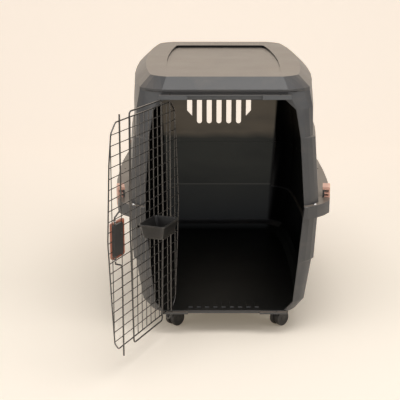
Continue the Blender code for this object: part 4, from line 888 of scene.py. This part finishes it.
# %% Set the casters
HOOD_ROUNDING = 0.0007
HALF_WEB = 0.0058
WHEEL_STEPS = 40
WHEEL_OUTLINE = (
    (0.0045, 0.0), (0.0225, 0.0), (0.0243, 0.0004), (0.0256, 0.0015), (0.0260, 0.0030), (0.0260, 0.0100),
    (0.0256, 0.0115), (0.0245, 0.0126), (0.0229, 0.0130), (0.0222, 0.0128), (0.0214, 0.0118),
    (0.0150, 0.0116), (0.0085, 0.0118), (0.0080, 0.0127), (0.0070, 0.0130), (0.0, 0.0131),
)
for i in range(1, 5):
    rounded(f"caster_hood_{i}", (caster_plastic,), HOOD_ROUNDING)
    spin = joints[f"wheels_{i}_spin"]
    axle = Vector(spin["axis"])
    for side, sign in (("left", 1), ("right", -1)):
        turn = (axle * sign).to_track_quat("Z", "Y").to_matrix().to_4x4()
        space = Matrix.Translation(Vector(spin["pos_m"]) + axle * sign * HALF_WEB) @ turn
        wheel = turned(f"wheel_{side}_{i}_turned", WHEEL_OUTLINE, tyre, space, WHEEL_STEPS)
        shown_for(wheel, f"wheel_{side}_{i}")
print("set: 4 caster hoods and 8 wheels")

# %% [markdown]
# ## The plain metal that stays
# Pins, nuts, stems and axles are already the right shape. They keep their solids from the model and only
# take the zinc finish.

# %% Finish the small metal
for kind in ("rim_nut", "clip_pin", "caster_stem", "caster_axle"):
    for i in range(1, 5):
        mesh = nodes[f"{kind}_{i}"].data
        mesh.materials.clear()
        mesh.materials.append(zinc.material)
print("finished: nuts, pins, stems and axles")

# %% [markdown]
# ## The floor
# The crate stands on one sheet of cream paper that runs up behind it. A floor and a wall would show a
# line where they meet, so the sheet rises in one curve. The paper also glows faintly, which only the
# camera and mirrored views see, so the background stays pale.

# %% Build the sweep of paper
PAPER_HALF_WIDTH, PAPER_FRONT_Y, PAPER_TOP_Z = 8.0, -7.0, 7.0
BEND_Y, BEND_RADIUS, BEND_STEPS = 2.5, 2.0, 12
PAPER_DARK, PAPER_LIGHT = (0.92, 0.855, 0.765), (0.94, 0.875, 0.785)
FLOOR_GLOW, BACK_GLOW = (0.150, 0.125, 0.090), (0.372, 0.305, 0.243)


def paper_sweep():
    """The floor, rising behind in one curve."""
    profile = [(PAPER_FRONT_Y, 0.0), (BEND_Y, 0.0)]
    for k in range(1, BEND_STEPS + 1):
        angle = math.radians(90 * k / BEND_STEPS)
        along, up = BEND_RADIUS * math.sin(angle), BEND_RADIUS - BEND_RADIUS * math.cos(angle)
        profile.append((BEND_Y + along, up))
    profile.append((BEND_Y + BEND_RADIUS, PAPER_TOP_Z))
    work = bmesh.new()
    lines = [[work.verts.new((x, y, z)) for x in (-PAPER_HALF_WIDTH, PAPER_HALF_WIDTH)] for y, z in profile]
    for (a, b), (c, d) in zip(lines, lines[1:]):
        work.faces.new((a, b, d, c)).smooth = True
    mesh = bpy.data.meshes.new("paper")
    work.to_mesh(mesh)
    work.free()
    return linked(bpy.data.objects.new("paper", mesh))


def paper_finish():
    """Cream paper. Its glow, seen directly and mirrored, is stronger up the back than on the floor."""
    finish = Finish("cream_paper", (0.93, 0.86, 0.76), 0.9, Specular_IOR_Level=0.1, Emission_Strength=1.0)
    direct = finish.add("ShaderNodeLightPath", {}, {}, "Is Camera Ray")
    mirrored = finish.add("ShaderNodeLightPath", {}, {}, "Is Glossy Ray")
    fibre = finish.noise(220.0, 3.0, 0.6).ramp(0.3, 0.7)
    behind = finish.part_of(finish.place(), "Y").ramp(0.2, 2.4)
    seen = (direct + mirrored).clamped()
    glow = finish.mix_color(behind, FLOOR_GLOW, BACK_GLOW)
    finish.set("Base Color", finish.mix_color(fibre, PAPER_DARK, PAPER_LIGHT))
    finish.set("Emission Color", finish.mix_color(seen, NO_GLOW, glow))
    return finish


paper = paper_sweep()
paper.data.materials.append(paper_finish().material)
print(f"paper: {len(paper.data.polygons)} strips")

# %% [markdown]
# ## Lamps
# The photo's light is even and soft. A large lamp overhead and a weaker one at each side give that, with
# a little light from the room itself. A sun lamp would be simpler, but its shadow would be hard. The
# lamps stay low enough for a colour to come out as it is written.

# %% Hang the lamps
SIDE_LAMP_SIZE, SIDE_LAMP_COLOR = (1.8, 2.0), (1.0, 0.96, 0.90)
ROOM_COLOR, ROOM_STRENGTH = (0.96, 0.96, 1.0, 1.0), 0.45


def lamp(name, place, aim, size, power, color):
    light = bpy.data.lights.new(name, "AREA")
    light.shape = "RECTANGLE"
    light.size, light.size_y = size
    light.energy = power
    light.color = color
    made = linked(bpy.data.objects.new(name, light))
    made.location = place
    made.rotation_euler = (Vector(aim) - Vector(place)).to_track_quat("-Z", "Y").to_euler()


lamp("overhead", (0.2, -0.9, 3.4), (0.0, 0.1, 0.4), (2.6, 2.4), 64.0, (1.0, 0.97, 0.93))
lamp("left_side", (-3.2, -2.0, 1.8), (0.0, 0.0, 0.4), SIDE_LAMP_SIZE, 18.0, SIDE_LAMP_COLOR)
lamp("right_side", (3.2, -1.6, 1.8), (0.0, 0.0, 0.4), SIDE_LAMP_SIZE, 16.0, SIDE_LAMP_COLOR)
world = bpy.data.worlds.new("room")
bpy.context.scene.world = world
world.use_nodes = True
background = world.node_tree.nodes["Background"]
background.inputs["Color"].default_value = ROOM_COLOR
background.inputs["Strength"].default_value = ROOM_STRENGTH
bpy.context.scene.view_settings.view_transform = "Standard"
print("stage: paper, three lamps and the room's own light")

# %% [markdown]
# ## Finish
# The last cell notes the size of the imported model and hands the scene over.

# %% Write the sizes and finish
bpy.context.view_layer.update()
print("model:", [round(v, 4) for v in (*cad_low, *cad_high)])
